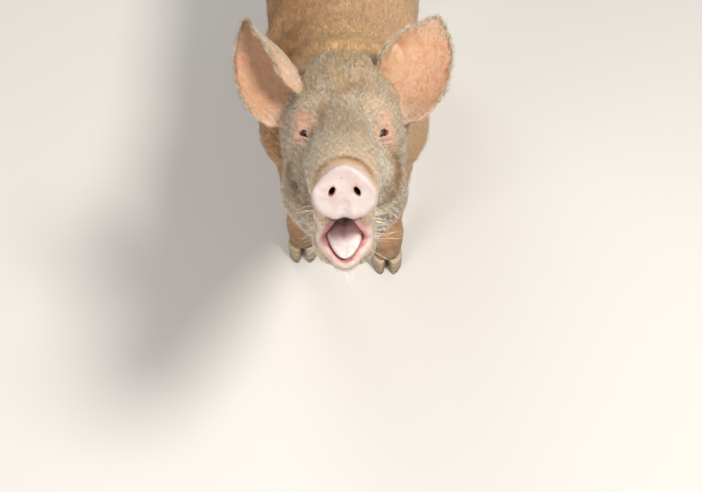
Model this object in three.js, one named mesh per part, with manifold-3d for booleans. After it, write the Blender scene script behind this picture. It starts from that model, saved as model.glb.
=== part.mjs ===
// A young domestic pig of the white, prick-eared kind, life size, about four months old and 60 kg.
// It stands square on four feet with its head raised and its mouth open, as a pig does that waits to be fed.
//
// Frame: millimetres, +Z up, the pig faces -Y, and its left side is +X. The floor is z = 0.
//
// The flesh is one smooth surface: ellipsoids and tapered limbs of named sizes, blended into one field that
// is negative inside the body. Each node is a tube of rings whose points are found along rays from the node's
// own middle line out to that surface, so neighbours share one shape. Thin flat cuts then part them, JOIN
// apart.

import * as THREE from "three";
import { mergeVertices } from "three/addons/utils/BufferGeometryUtils.js";
import Module from "manifold-3d";

const wasm = await Module();
wasm.setup();

// ------------------------------------------------------------------ driving sizes
const JOIN = 0.3; // gap between two nodes that touch
const FAR = 2000; // longer than the pig, for cutters

const HEAD_RAISE = THREE.MathUtils.degToRad(50); // the snout's direction above the horizontal
const SNOUT = new THREE.Vector3(0, -660, 735); // middle of the snout's flat front

const FORE_X = 80; // distance of each fore foot from the middle plane
const HIND_X = 82;
const FORE_Y = -236;
const HIND_Y = 300;
// How far aft of FORE_Y or HIND_Y each foot stands.
const STRIDE = { foreLeft: -16, foreRight: 14, hindLeft: 18, hindRight: -20 };
const CORONET = 34; // height of the top of the claws
const CORONET_SLOPE = THREE.MathUtils.degToRad(16);
const CLEFT = 4; // between the two claws of a foot
const LEG_SEGMENTS = 20;
const HEAD_SEGMENTS = 44;
const TAIL = { root: 11, tip: 3 }; // its radii

// ------------------------------------------------------------------ the field
const { abs, cos, sin, hypot, min, max, PI } = Math;
const mix = (a, b, t) => a + (b - a) * t;

function smoothMin(a, b, reach) {
  const h = max(reach - abs(a - b), 0) / reach;
  return min(a, b) - (h * h * reach) / 4;
}

const smoothMax = (a, b, reach) => -smoothMin(-a, -b, reach);

// A rounded mass: an ellipsoid with half-sizes `size`, tipped nose-up by `tip` degrees about X.
function mass(at, size, tip = 0) {
  const c = cos(THREE.MathUtils.degToRad(tip));
  const s = sin(THREE.MathUtils.degToRad(tip));
  return (x, y, z) => {
    const dy = y - at[1];
    const dz = z - at[2];
    const px = (x - at[0]) / size[0];
    const py = (dy * c - dz * s) / size[1];
    const pz = (dy * s + dz * c) / size[2];
    const near = hypot(px, py, pz);
    const slope = hypot(px / size[0], py / size[1], pz / size[2]);
    return slope > 0 ? (near * (near - 1)) / slope : -min(...size);
  };
}

// A limb: a capsule that tapers from radius ra at a to rb at b. `wide` stretches it sideways.
function limb(a, b, ra, rb, wide = 1) {
  const d = [(b[0] - a[0]) / wide, b[1] - a[1], b[2] - a[2]];
  const length2 = d[0] * d[0] + d[1] * d[1] + d[2] * d[2];
  return (x, y, z) => {
    const px = (x - a[0]) / wide;
    const py = y - a[1];
    const pz = z - a[2];
    const t = min(1, max(0, (px * d[0] + py * d[1] + pz * d[2]) / length2));
    return hypot(px - d[0] * t, py - d[1] * t, pz - d[2] * t) - mix(ra, rb, t);
  };
}

// Fields melted into one, with creases filled over `reach`.
function blend(reach, ...fields) {
  return (x, y, z) => {
    let d = fields[0](x, y, z);
    for (let i = 1; i < fields.length; i++) d = smoothMin(d, fields[i](x, y, z), reach);
    return d;
  };
}

// Fields written for the left side and used for both.
const paired = (field) => (x, y, z) => field(abs(x), y, z);

// ------------------------------------------------------------------ trunk and neck
const trunk = blend(
  55,
  mass([0, -195, 444], [110, 185, 152]), // chest
  mass([0, 15, 446], [123, 250, 160]), // barrel
  mass([0, 25, 402], [106, 205, 130]), // belly
  mass([0, 225, 478], [112, 168, 128], -6), // loin and rump
);

const neck = blend(
  45,
  limb([0, -250, 510], [0, -452, 600], 90, 70, 1.14), // nape
  limb([0, -290, 420], [0, -480, 528], 94, 64, 1.06), // throat
);

// ------------------------------------------------------------------ legs
// The foot's stride shears the leg below HIP, where it leaves the body.
const HIP = 400;
const stridden = (stride) => (p) => [p[0], p[1] + stride * max(0, 1 - p[2] / HIP), p[2]];

const FORELEG = {
  shoulder: [FORE_X - 2, FORE_Y - 24, 424],
  point: [FORE_X, FORE_Y - 44, 372],
  elbow: [FORE_X, FORE_Y + 26, 312],
  knee: [FORE_X - 2, FORE_Y, 166],
  fetlock: [FORE_X - 2, FORE_Y - 3, 76],
  foot: [FORE_X - 2, FORE_Y - 20, CORONET + 2],
};

const HINDLEG = {
  hip: [HIND_X - 10, HIND_Y - 46, 442],
  stifle: [HIND_X + 2, HIND_Y - 98, 352],
  hock: [HIND_X, HIND_Y + 20, 198],
  heel: [HIND_X, HIND_Y + 42, 226],
  fetlock: [HIND_X - 2, HIND_Y + 6, 78],
  foot: [HIND_X - 2, HIND_Y - 12, CORONET + 2],
};

function foreleg(stride) {
  const place = stridden(stride);
  const { shoulder, point, elbow, knee, fetlock, foot } = FORELEG;
  const body = blend(
    32,
    mass(place(shoulder), [44, 76, 92], 14),
    limb(place(point), place(elbow), 48, 46),
  );
  const shank = blend(
    12,
    limb(place(elbow), place(knee), 47, 28),
    limb(place([knee[0], knee[1] - 1, knee[2] + 8]), place([knee[0], knee[1] - 1, knee[2] - 12]), 30, 28),
    limb(place(knee), place(fetlock), 25, 23.5),
    limb(place(fetlock), place(foot), 26, 23, 1.14),
  );
  return blend(20, body, shank);
}

function hindleg(stride) {
  const place = stridden(stride);
  const { hip, stifle, hock, heel, fetlock, foot } = HINDLEG;
  const ham = blend(
    40,
    mass(place(hip), [54, 108, 124], -12),
    limb(place([hip[0] + 2, hip[1] + 10, hip[2] - 40]), place(stifle), 60, 52),
    limb(place([hip[0] + 4, hip[1] + 66, hip[2] - 44]), place([hock[0], hock[1] - 8, hock[2] + 72]), 50, 32),
  );
  const shank = blend(
    13,
    limb(place(stifle), place(hock), 54, 28),
    limb(place([heel[0], heel[1] - 16, heel[2] + 64]), place(heel), 20, 14),
    limb(place(heel), place(hock), 15, 24),
    limb(place(hock), place([fetlock[0], fetlock[1] + 6, fetlock[2] + 40]), 28.5, 24),
    limb(place(hock), place(fetlock), 26, 24),
    limb(place(fetlock), place(foot), 26, 23, 1.14),
  );
  return blend(22, ham, shank);
}

const LEGS = {
  foreleg_left: { field: foreleg(STRIDE.foreLeft), points: FORELEG, stride: STRIDE.foreLeft, side: 1 },
  foreleg_right: { field: foreleg(STRIDE.foreRight), points: FORELEG, stride: STRIDE.foreRight, side: -1 },
  hindleg_left: { field: hindleg(STRIDE.hindLeft), points: HINDLEG, stride: STRIDE.hindLeft, side: 1 },
  hindleg_right: { field: hindleg(STRIDE.hindRight), points: HINDLEG, stride: STRIDE.hindRight, side: -1 },
};

function legs(x, y, z) {
  const fore = x >= 0 ? LEGS.foreleg_left : LEGS.foreleg_right;
  const hind = x >= 0 ? LEGS.hindleg_left : LEGS.hindleg_right;
  return min(fore.field(abs(x), y, z), hind.field(abs(x), y, z));
}

// ------------------------------------------------------------------ head
// The head has a frame of its own: its origin is the middle of the snout's flat front, -Y points out of the
// snout and +Z out of the brow, so y is the distance behind the snout.
const headFrame = new THREE.Group();
headFrame.position.copy(SNOUT);
headFrame.rotation.x = -HEAD_RAISE;
headFrame.updateMatrixWorld(true);

const EYE = [37.5, 151, 58];
const EYE_RADIUS = 12;
const GAZE = [0.7, -0.66, 0.27]; // the way the left eye looks
const LIDS = { thick: 3.6, upper: 24, lower: 20 }; // each lid's angle off the eye's middle line
const DISC = { halfWidth: 35.5, halfHeight: 29.5, thick: 11, segments: 32 };
const NOSTRIL = { apart: 13.4, halfWidth: 3.6, halfHeight: 5.4, slant: 26, deep: 30 };
const TONGUE = { root: [0, 148, -50], middle: [0, 98, -46], tip: [0, 63, -75] };
const EARS = {
  ear_left: {
    side: 1,
    root: [56, 205, 122],
    axis: [0.52, 0.4, 0.75],
    opens: [0.1, -1, 0.1],
    twist: 0,
    curlInner: 70,
    curlOuter: 52,
  },
  ear_right: {
    side: -1,
    root: [58, 205, 122],
    axis: [0.54, 0.42, 0.73],
    opens: [0.1, -1, 0.1],
    twist: 6,
    curlInner: 150,
    curlOuter: 40,
  },
};

const face = blend(
  26,
  mass([0, 196, 92], [56, 58, 66]), // cranium
  limb([0, 176, 74], [0, 66, 12], 42, 30, 1.06), // brow down to the bridge of the nose
  limb([0, 96, 6], [0, 14, 0], 33, 26, 1.16), // snout
  paired(mass([34, 166, 2], [36, 54, 44], 0)), // cheek
  paired(mass([42, 184, 46], [22, 36, 24], 18)), // cheekbone
  paired(mass([32, 200, -14], [42, 48, 44])), // jowl
  limb([0, 190, -20], [0, 250, 20], 52, 60), // throat
);

const brow = paired(mass([36, 164, 80], [22, 28, 14], 30));
const lipCorner = paired(mass([22, 96, -48], [10, 28, 24], 20));
const snoutRoll = mass([0, 27, 3], [36, 9, 31]); // the fold of skin behind the disc
const upperLip = paired(mass([22, 56, -28], [11, 38, 18], 10)); // it hangs beside the mouth

const chinAt = [0, 63, -79];
const jawRoot = [0, 170, -38];
const jawBone = blend(
  16,
  limb(jawRoot, chinAt, 38, 13.5, 1.25),
  paired(mass([19, 94, -62], [12, 34, 20], 34)), // the lip's side
);

// The gape: a wedge open to the front, its edge at the corners of the mouth.
const mouthCorner = [96, -50];
const upperLipFront = [8, -31];
const lowerLipFront = [46, -84];

function gape(x, y, z) {
  const under = sideOf(mouthCorner, upperLipFront, y, z);
  const over = sideOf(lowerLipFront, mouthCorner, y, z);
  const wedge = smoothMax(smoothMax(under, over, 5), abs(x) - cheekAt(y), 5);
  return min(wedge, mouthFloor(x, y, z), mouthRoof(x, y, z));
}

// Half the width that is open between the cheeks, at a distance behind the snout.
const cheekAt = (y) => 20 + max(0, 74 - y) * 0.7;

// The hollow of the lower jaw between its lips, in which the tongue lies, and the one under the palate.
const mouthFloor = limb([0, 96, -50], [0, 59, -75], 16, 7, 1.15);
const mouthRoof = limb([0, 30, -38], [0, 90, -44], 12, 12);

// Signed distance of (y, z) from the line through a and b.
function sideOf(a, b, y, z) {
  const dy = b[0] - a[0];
  const dz = b[1] - a[1];
  return ((y - a[0]) * dz - (z - a[1]) * dy) / hypot(dy, dz);
}

const orbit = paired(mass([60, 124, 66], [17, 18, 14]));
const masked = blend(14, blend(24, face, brow), snoutRoll, upperLip);
const lidBulge = paired(mass(EYE, [14.5, 14.5, 14.5]));
const sockets = (x, y, z) => smoothMax(masked(x, y, z), -orbit(x, y, z), 26);
const skull = blend(9, sockets, lidBulge);

function headMasses(x, y, z) {
  return smoothMin(smoothMin(skull(x, y, z), jawBone(x, y, z), 14), lipCorner(x, y, z), 16);
}

// ------------------------------------------------------------------ the whole body
const raiseCos = cos(HEAD_RAISE);
const raiseSin = sin(HEAD_RAISE);

function body(x, y, z) {
  const dy = y - SNOUT.y;
  const dz = z - SNOUT.z;
  const hy = dy * raiseCos - dz * raiseSin;
  const hz = dy * raiseSin + dz * raiseCos;
  const trunkAndNeck = smoothMin(trunk(x, y, z), neck(x, y, z), 60);
  const legged = smoothMin(trunkAndNeck, legs(x, y, z), 30);
  const whole = smoothMin(legged, headMasses(x, hy, hz), 34);
  return smoothMax(whole, -gape(x, hy, hz), 4);
}

// The same field read in the head's frame.
function bodyAtHead(x, y, z) {
  const wy = SNOUT.y + y * raiseCos + z * raiseSin;
  const wz = SNOUT.z - y * raiseSin + z * raiseCos;
  return body(x, wy, wz);
}

// ------------------------------------------------------------------ skinning
const STEP = 7; // march along a ray
const HALVINGS = 12;

// Distance from `from` along `dir` to the field's surface, or `reach` where it lies further off.
function surfaceAt(field, from, dir, reach) {
  let inside = 0;
  for (let t = STEP; t < reach + STEP; t += STEP) {
    const r = min(t, reach);
    if (field(from.x + dir.x * r, from.y + dir.y * r, from.z + dir.z * r) > 0) {
      let outside = r;
      for (let i = 0; i < HALVINGS; i++) {
        const half = (inside + outside) / 2;
        const d = field(from.x + dir.x * half, from.y + dir.y * half, from.z + dir.z * half);
        if (d > 0) outside = half;
        else inside = half;
      }
      return (inside + outside) / 2;
    }
    inside = r;
    if (r === reach) break;
  }
  return reach;
}

// A closed tube round a middle line. Each ring has a centre, and its rays leave square to `along`, leaning
// forward by `lean` degrees; rings that lean more and more from one centre close a rounded end.
// `turnAt` spreads the rays round the ring.
function skin({ field, rings, segments, reach, swell = 0, turnAt = (share) => 2 * PI * share }) {
  const points = [];
  const start = rings[0];
  const end = rings[rings.length - 1];
  const across = new THREE.Vector3(1, 0, 0);
  const upright = new THREE.Vector3();
  const dir = new THREE.Vector3();
  for (const { centre, along, lean = 0 } of rings) {
    upright.crossVectors(across, along).normalize();
    const tip = THREE.MathUtils.degToRad(lean);
    for (let i = 0; i < segments; i++) {
      const turn = turnAt(i / segments);
      dir.set(0, 0, 0);
      dir.addScaledVector(across, cos(turn) * cos(tip));
      dir.addScaledVector(upright, sin(turn) * cos(tip));
      dir.addScaledVector(along, sin(tip));
      const r = surfaceAt(field, centre, dir, reach) + swell;
      points.push(centre.clone().addScaledVector(dir, r));
    }
  }
  const pole = end.centre.clone();
  if (end.lean) {
    const r = surfaceAt(field, end.centre, end.along, reach) + swell;
    pole.addScaledVector(end.along, r);
  }
  points.push(start.centre.clone(), pole);
  return shell(points, rings.length, segments);
}

// Joins rings of points, then a first and a last pole, into a closed surface that faces out. Each four-sided
// patch is split along its shorter diagonal.
function shell(points, rings, segments) {
  const index = [];
  const at = (ring, i) => ring * segments + (i % segments);
  const first = rings * segments;
  for (let i = 0; i < segments; i++) {
    index.push(first, at(0, i), at(0, i + 1));
    index.push(first + 1, at(rings - 1, i + 1), at(rings - 1, i));
    for (let ring = 0; ring < rings - 1; ring++) {
      const [a, b] = [at(ring, i), at(ring, i + 1)];
      const [c, d] = [at(ring + 1, i), at(ring + 1, i + 1)];
      const straight = points[b].distanceToSquared(points[c]) <= points[a].distanceToSquared(points[d]);
      index.push(...(straight ? [a, c, b, b, c, d] : [a, c, d, a, d, b]));
    }
  }
  return facingOut(geometryOf(points, index));
}

function geometryOf(points, index) {
  const geometry = new THREE.BufferGeometry().setFromPoints(points);
  return geometry.setIndex(index);
}

// Turns a closed surface right side out.
function facingOut(geometry) {
  const p = geometry.getAttribute("position");
  const index = geometry.index.array;
  const [a, b, c] = [new THREE.Vector3(), new THREE.Vector3(), new THREE.Vector3()];
  let volume = 0;
  for (let i = 0; i < index.length; i += 3) {
    a.fromBufferAttribute(p, index[i]);
    b.fromBufferAttribute(p, index[i + 1]);
    c.fromBufferAttribute(p, index[i + 2]);
    volume += a.dot(b.cross(c));
  }
  if (volume < 0) {
    for (let i = 0; i < index.length; i += 3) {
      [index[i + 1], index[i + 2]] = [index[i + 2], index[i + 1]];
    }
  }
  return geometry;
}

// ------------------------------------------------------------------ cutting and joining
function solid(geometry) {
  const bare = geometry.clone();
  bare.deleteAttribute("normal");
  bare.deleteAttribute("uv");
  const merged = mergeVertices(bare, 1e-3);
  return new wasm.Manifold(
    new wasm.Mesh({
      numProp: 3,
      vertProperties: merged.getAttribute("position").array,
      triVerts: new Uint32Array(merged.index.array),
    }),
  );
}

// The geometry of a solid's largest closed surface: what a cut leaves loose is dropped.
function largest(made) {
  const pieces = made.decompose().sort((a, b) => b.volume() - a.volume());
  const mesh = pieces[0].getMesh();
  const geometry = new THREE.BufferGeometry();
  geometry.setAttribute("position", new THREE.BufferAttribute(new Float32Array(mesh.vertProperties), 3));
  geometry.setIndex(new THREE.BufferAttribute(new Uint32Array(mesh.triVerts), 1));
  return geometry;
}

// A box as big as needed that fills the side of a plane to which `normal` points.
function halfSpace(point, normal) {
  const box = new THREE.BoxGeometry(FAR, FAR, FAR);
  box.translate(0, 0, FAR / 2);
  box.applyQuaternion(new THREE.Quaternion().setFromUnitVectors(new THREE.Vector3(0, 0, 1), normal));
  box.translate(point.x, point.y, point.z);
  return solid(box);
}

// A prism with an outline in the YZ plane, reaching from x0 to x1.
function sidePrism(outline, x0, x1) {
  const shape = new THREE.Shape(outline.map(([y, z]) => new THREE.Vector2(y, z)));
  const prism = new THREE.ExtrudeGeometry(shape, { depth: x1 - x0, bevelEnabled: false });
  prism.applyMatrix4(new THREE.Matrix4().set(0, 0, 1, x0, 1, 0, 0, 0, 0, 1, 0, 0, 0, 0, 0, 1));
  return solid(prism);
}

// ------------------------------------------------------------------ materials
const finish = (color, roughness) => new THREE.MeshStandardMaterial({ color, roughness, metalness: 0 });
const MATERIALS = {
  skin: finish("#d9a585", 0.75),
  ear: finish("#e0a08c", 0.75),
  snout: finish("#e8c4bd", 0.55),
  mouth: finish("#cf9a9c", 0.4),
  eye: finish("#2a1c16", 0.15),
  claw: finish("#6f5a46", 0.6),
};

const pig = new THREE.Group();
const headNodes = new THREE.Group();
headNodes.position.copy(headFrame.position);
headNodes.rotation.copy(headFrame.rotation);

function addNode(group, name, geometry, material) {
  const mesh = new THREE.Mesh(geometry, material);
  mesh.name = name;
  group.add(mesh);
}

// ------------------------------------------------------------------ parting planes
const NECK_ROOT = { point: new THREE.Vector3(0, -318, 490), normal: upBy(18) };
const NECK_HEAD_Y = 238; // the neck ends this far behind the snout, square to the head's frame

// A unit vector that points forward and up by an angle in degrees.
function upBy(degrees) {
  const a = THREE.MathUtils.degToRad(degrees);
  return new THREE.Vector3(0, -cos(a), sin(a));
}

const backwards = (v) => v.clone().negate();
const shifted = (point, normal, by) => point.clone().addScaledVector(normal, by);

// Each leg is parted from the trunk by a prism under it. The prism's top starts at the armpit or groin and
// rises outward, so that the belly stays with the trunk.
const FORE_CUT = { inner: 28, crotch: 263, rise: 0.62, y0: -345, y1: -105 };
const HIND_CUT = { inner: 0, crotch: 290, rise: 0.36, y0: 156, y1: 470 };
const LEG_SIDE = 260;

function legPrism({ inner, crotch, rise, y0, y1 }, side, grow) {
  const low = -60;
  const x0 = inner - grow;
  const top = crotch + grow * 2 + rise * (LEG_SIDE - inner);
  const shape = new THREE.Shape([
    new THREE.Vector2(x0, low),
    new THREE.Vector2(LEG_SIDE, low),
    new THREE.Vector2(LEG_SIDE, top),
    new THREE.Vector2(x0, crotch + grow * 2),
  ]);
  const depth = y1 - y0 + 2 * grow;
  const prism = new THREE.ExtrudeGeometry(shape, { depth, bevelEnabled: false });
  // the shape's (x, y, depth) become (x, z, y)
  prism.applyMatrix4(new THREE.Matrix4().set(1, 0, 0, 0, 0, 0, -1, y1 + grow, 0, 1, 0, 0, 0, 0, 0, 1));
  if (side < 0) prism.applyMatrix4(new THREE.Matrix4().makeScale(-1, 1, 1));
  return solid(facingOut(mergeVertices(stripped(prism), 1e-3)));
}

function stripped(geometry) {
  geometry.deleteAttribute("normal");
  geometry.deleteAttribute("uv");
  return geometry;
}

// ------------------------------------------------------------------ torso
const alongBack = new THREE.Vector3(0, 1, 0);
const TORSO_SEGMENTS = 42;
const RUMP_Y = 250;

// No ray of the torso runs far down a leg: it stops a little below the leg's cut.
const bellyLevel = (y) => (y < 60 ? 250 : min(280, mix(250, 280, (y - 60) / 90)));
const torsoField = (x, y, z) => max(body(x, y, z), bellyLevel(y) - z);

const TORSO_STATIONS = [
  -410, -385, -360, -336, -314, -294, -275, -256, -237, -218, -200, -184, -170, -158, -146,
  -132, -110, -80, -45, -8, 28, 64, 96, 122, 142, 156, 170, 186, 204, 226,
];

function torsoRings() {
  const rings = [];
  for (const y of TORSO_STATIONS) {
    rings.push({ centre: new THREE.Vector3(0, y, mix(470, 455, (y + 410) / 400)), along: alongBack });
  }
  for (const lean of [0, 10, 20, 30, 40, 50, 60, 70, 81]) {
    rings.push({ centre: new THREE.Vector3(0, RUMP_Y, 470), along: alongBack, lean });
  }
  return rings;
}

// Rays crowd towards the tops of the legs, to both sides of straight down.
const legward = (share) => 2 * PI * share + 0.3 * sin(4 * PI * share) - 0.34 * cos(2 * PI * share);

function torsoSkin(swell) {
  const rings = torsoRings();
  return skin({ field: torsoField, rings, segments: TORSO_SEGMENTS, reach: 260, swell, turnAt: legward });
}

function torso() {
  let made = solid(torsoSkin(0)).subtract(halfSpace(NECK_ROOT.point, NECK_ROOT.normal));
  for (const side of [1, -1]) {
    made = made.subtract(legPrism(FORE_CUT, side, JOIN / 2));
    made = made.subtract(legPrism(HIND_CUT, side, JOIN / 2));
  }
  return largest(made);
}

// ------------------------------------------------------------------ neck
function neckRings() {
  const rings = [];
  const line = new THREE.CatmullRomCurve3([
    new THREE.Vector3(0, -250, 462),
    new THREE.Vector3(0, -340, 492),
    new THREE.Vector3(0, -420, 536),
    new THREE.Vector3(0, -482, 592),
    new THREE.Vector3(0, -520, 640),
  ]);
  for (let i = 0; i <= 10; i++) {
    const along = line.getTangent(i / 10);
    rings.push({ centre: line.getPoint(i / 10), along });
  }
  return rings;
}

const headPlane = {
  point: new THREE.Vector3(0, NECK_HEAD_Y, 0).applyMatrix4(headFrame.matrixWorld),
  normal: upBy(THREE.MathUtils.radToDeg(HEAD_RAISE)),
};

function neckNode() {
  const whole = skin({ field: body, rings: neckRings(), segments: 36, reach: 240 });
  const root = shifted(NECK_ROOT.point, NECK_ROOT.normal, JOIN);
  const made = solid(whole)
    .subtract(halfSpace(root, backwards(NECK_ROOT.normal)))
    .subtract(halfSpace(headPlane.point, headPlane.normal));
  return largest(made);
}

// ------------------------------------------------------------------ head and lower jaw
const intoHead = new THREE.Vector3(0, -1, 0);

// Rings: distance behind the snout and height of the middle line. They crowd at the mouth's corner.
const HEAD_RINGS = [
  [256, 52], [246, 54], [236, 56], [226, 57], [216, 58], [206, 58], [196, 57],
  [186, 54], [176, 50], [167, 46], [158, 42], [149, 37], [140, 33], [131, 28],
  [122, 24], [113, 20], [105, 17], [99, 15], [96.5, 14], [94, 13], [88, 11],
  [79, 8], [69, 5], [58, 3], [47, 2], [36, 1], [24, 0], [10, 0],
];

const headRings = () => HEAD_RINGS.map(([y, z]) => ({ centre: new THREE.Vector3(0, y, z), along: intoHead }));

// What lies under this outline belongs to the lower jaw.
const jawRegion = (grow) => [
  [mouthCorner[0] - 2, mouthCorner[1] - 4 + grow],
  [-60, -60 + grow],
  [-60, -200],
  [330, -200],
  [330, -176 + grow],
];

// Distance below the line that parts the lower jaw from the head.
const belowJawLine = (y, z) => sideOf(jawRegion(0)[0], jawRegion(0)[4], y, z);
const headField = (x, y, z) => max(bodyAtHead(x, y, z), y > 92 ? belowJawLine(y, z) - 30 : -30);
const jawField = (x, y, z) => max(bodyAtHead(x, y, z), -belowJawLine(y, z) - 30);

function headSkin(swell) {
  return skin({ field: headField, rings: headRings(), segments: HEAD_SEGMENTS, reach: 190, swell });
}

function headNode() {
  let made = solid(headSkin(0))
    .subtract(halfSpace(new THREE.Vector3(0, NECK_HEAD_Y - JOIN, 0), alongBack))
    .subtract(halfSpace(new THREE.Vector3(0, DISC.thick + JOIN, 0), intoHead))
    .subtract(sidePrism(jawRegion(JOIN), -150, 150))
    .subtract(mouthCavity())
    .subtract(solid(tongueSkin(JOIN)));
  for (const side of [1, -1]) {
    made = made
      .add(solid(ball(eyeAt(side), EYE_RADIUS + LIDS.thick, 16, 10)))
      .subtract(lidSlit(side))
      .subtract(solid(ball(eyeAt(side), EYE_RADIUS + JOIN, 16, 10)))
      .subtract(nostril(side));
  }
  return largest(made);
}

function mouthCavity() {
  const from = new THREE.Vector3(0, 84, -50);
  const to = new THREE.Vector3(0, 152, -46);
  return solid(rodRings(new THREE.LineCurve3(from, to), (t) => mix(21, 13, t), 4, 16));
}

function jawRings() {
  const rings = [];
  const from = new THREE.Vector3(0, 215, -62);
  const to = new THREE.Vector3(0, chinAt[1] + 4, chinAt[2] - 4);
  const along = to.clone().sub(from).normalize();
  const count = 14;
  for (let i = 0; i <= count; i++) {
    rings.push({ centre: from.clone().lerp(to, i / count), along });
  }
  for (const lean of [22, 44, 66]) rings.push({ centre: to.clone(), along, lean });
  return rings;
}

function jawNode() {
  const whole = skin({ field: jawField, rings: jawRings(), segments: 36, reach: 170 });
  const made = solid(whole)
    .intersect(sidePrism(jawRegion(0), -150, 150))
    .subtract(halfSpace(new THREE.Vector3(0, NECK_HEAD_Y - JOIN, 0), alongBack))
    .subtract(mouthCavity())
    .subtract(solid(tongueSkin(JOIN)));
  return largest(made);
}

// ------------------------------------------------------------------ legs as nodes
// Level rings, each [height, y of its middle], from inside the body down to the foot.
const FORELEG_RINGS = [
  [352, -214], [330, -214], [308, -214], [288, -216], [266, -218], [242, -221], [218, -225],
  [198, -230], [182, -234], [168, -236], [152, -237], [134, -237], [114, -237], [96, -238],
  [82, -240], [70, -243], [58, -247], [44, -252], [28, -258],
];
const HINDLEG_RINGS = [
  [360, 262], [340, 262], [322, 262], [304, 264], [286, 272], [266, 286], [246, 304],
  [228, 318], [212, 324], [196, 323], [178, 320], [156, 316], [132, 312], [108, 308],
  [88, 305], [72, 303], [58, 299], [44, 294], [28, 288],
];
const DOWN = new THREE.Vector3(0, 0, -1);

function legSkin(name, swell) {
  const { points, stride, side } = LEGS[name];
  const place = stridden(stride);
  const fore = points === FORELEG;
  const footX = fore ? FORE_X : HIND_X;
  const stations = fore ? FORELEG_RINGS : HINDLEG_RINGS;
  const rings = stations.map(([z, y]) => {
    return { centre: new THREE.Vector3(...place([footX - 2, y, z])), along: DOWN };
  });
  const ownBody = (x, y, z) => body(side * x, y, z);
  return skin({ field: ownBody, rings, segments: LEG_SEGMENTS, reach: 120, swell });
}

// The coronet, where skin meets claw, slopes down towards the heel.
function coronet(name, drop) {
  const { points, stride } = LEGS[name];
  const [, y, z] = stridden(stride)(points.foot);
  const normal = new THREE.Vector3(0, sin(CORONET_SLOPE), -cos(CORONET_SLOPE));
  return { point: new THREE.Vector3(0, y, z - 2 - drop), normal };
}

function legNode(name) {
  const cut = LEGS[name].points === FORELEG ? FORE_CUT : HIND_CUT;
  const { point, normal } = coronet(name, 0);
  const made = solid(legSkin(name, 0))
    .intersect(legPrism(cut, 1, -JOIN / 2))
    .subtract(halfSpace(point, normal));
  return mirroredTo(LEGS[name].side, largest(made));
}

// A left-hand shape, or its mirror image for the right.
function mirroredTo(side, geometry) {
  if (side > 0) return geometry;
  return facingOut(geometry.applyMatrix4(new THREE.Matrix4().makeScale(-1, 1, 1)));
}

// ------------------------------------------------------------------ claws
// Outline of a claw's section, seen from above: flat towards the cleft, round outside, drawn out to a toe.
function clawRing(z, { toe, heel, width }, midY, segments) {
  const ring = [];
  for (let i = 0; i < segments; i++) {
    const turn = (2 * PI * i) / segments;
    const c = cos(turn);
    const s = sin(turn);
    const long = s < 0 ? toe : heel;
    const narrow = s < 0 ? 1 - 0.35 * s * s * s * s : 1;
    const out = c > 0 ? width * 0.62 * narrow * c : width * 0.38 * c;
    ring.push(new THREE.Vector3(out, midY + long * s, z));
  }
  return ring;
}

const CLAW_SEGMENTS = 12;
const CLAW_LEVELS = [
  [0, { toe: 31, heel: 20, width: 24 }],
  [2, { toe: 32.5, heel: 21.5, width: 26 }],
  [22, { toe: 25, heel: 22, width: 26 }],
  [44, { toe: 16, heel: 20, width: 23.5 }],
];

function clawNode(name, outward) {
  const { points, stride, side } = LEGS[name];
  const [x, y] = stridden(stride)(points.foot);
  const rings = CLAW_LEVELS.map(([z, size]) => clawRing(z, size, y + 1 - z * 0.08, CLAW_SEGMENTS));
  const offset = CLEFT / 2 + CLAW_LEVELS[1][1].width * 0.38;
  const flat = rings.flat();
  const top = new THREE.Vector3(0, y, CLAW_LEVELS[CLAW_LEVELS.length - 1][0]);
  flat.push(new THREE.Vector3(0, y, 0), top);
  const claw = shell(flat, rings.length, CLAW_SEGMENTS);
  claw.applyMatrix4(new THREE.Matrix4().makeScale(outward, 1, 1));
  claw.applyMatrix4(new THREE.Matrix4().makeTranslation(x + outward * offset, 0, 0));
  const { point, normal } = coronet(name, JOIN);
  const made = solid(facingOut(claw)).subtract(halfSpace(point, normal.clone().negate()));
  return mirroredTo(side, largest(made));
}

// The two small claws behind the pastern, clear of the floor.
function dewclawNode(name, outward) {
  const { points, stride, side } = LEGS[name];
  const [x, y] = stridden(stride)(points.foot);
  const root = new THREE.Vector3(x + outward * 12, y + 20, 62);
  const tip = new THREE.Vector3(x + outward * 15, y + 38, 45);
  const radius = (t) => mix(8, 4.5, t) * (t > 0.9 ? 0.7 : 1);
  const rod = rodRings(new THREE.LineCurve3(root, tip), radius, 4, 8);
  const made = solid(rod).subtract(solid(legSkin(name, JOIN)));
  return mirroredTo(side, largest(made));
}

// A rod along a curve, its radius given by the share of the way along.
function rodRings(curve, radius, count, segments) {
  const frames = curve.computeFrenetFrames(count, false);
  const points = [];
  for (let i = 0; i <= count; i++) {
    const middle = curve.getPointAt(i / count);
    for (let j = 0; j < segments; j++) {
      const turn = (2 * PI * j) / segments;
      const point = middle.clone();
      point.addScaledVector(frames.normals[i], radius(i / count) * cos(turn));
      point.addScaledVector(frames.binormals[i], radius(i / count) * sin(turn));
      points.push(point);
    }
  }
  points.push(curve.getPointAt(0), curve.getPointAt(1));
  return shell(points, count + 1, segments);
}

// ------------------------------------------------------------------ tail
// It hangs from the croup with one loose curl.
function tailCurve() {
  const points = [
    [0, 372, 545], [0, 398, 541], [2, 418, 522], [8, 430, 494], [20, 436, 466], [36, 436, 446],
    [48, 430, 456], [44, 424, 476], [24, 424, 482], [8, 432, 462], [4, 440, 434], [8, 442, 410],
  ];
  return new THREE.CatmullRomCurve3(points.map((p) => new THREE.Vector3(...p)));
}

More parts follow.
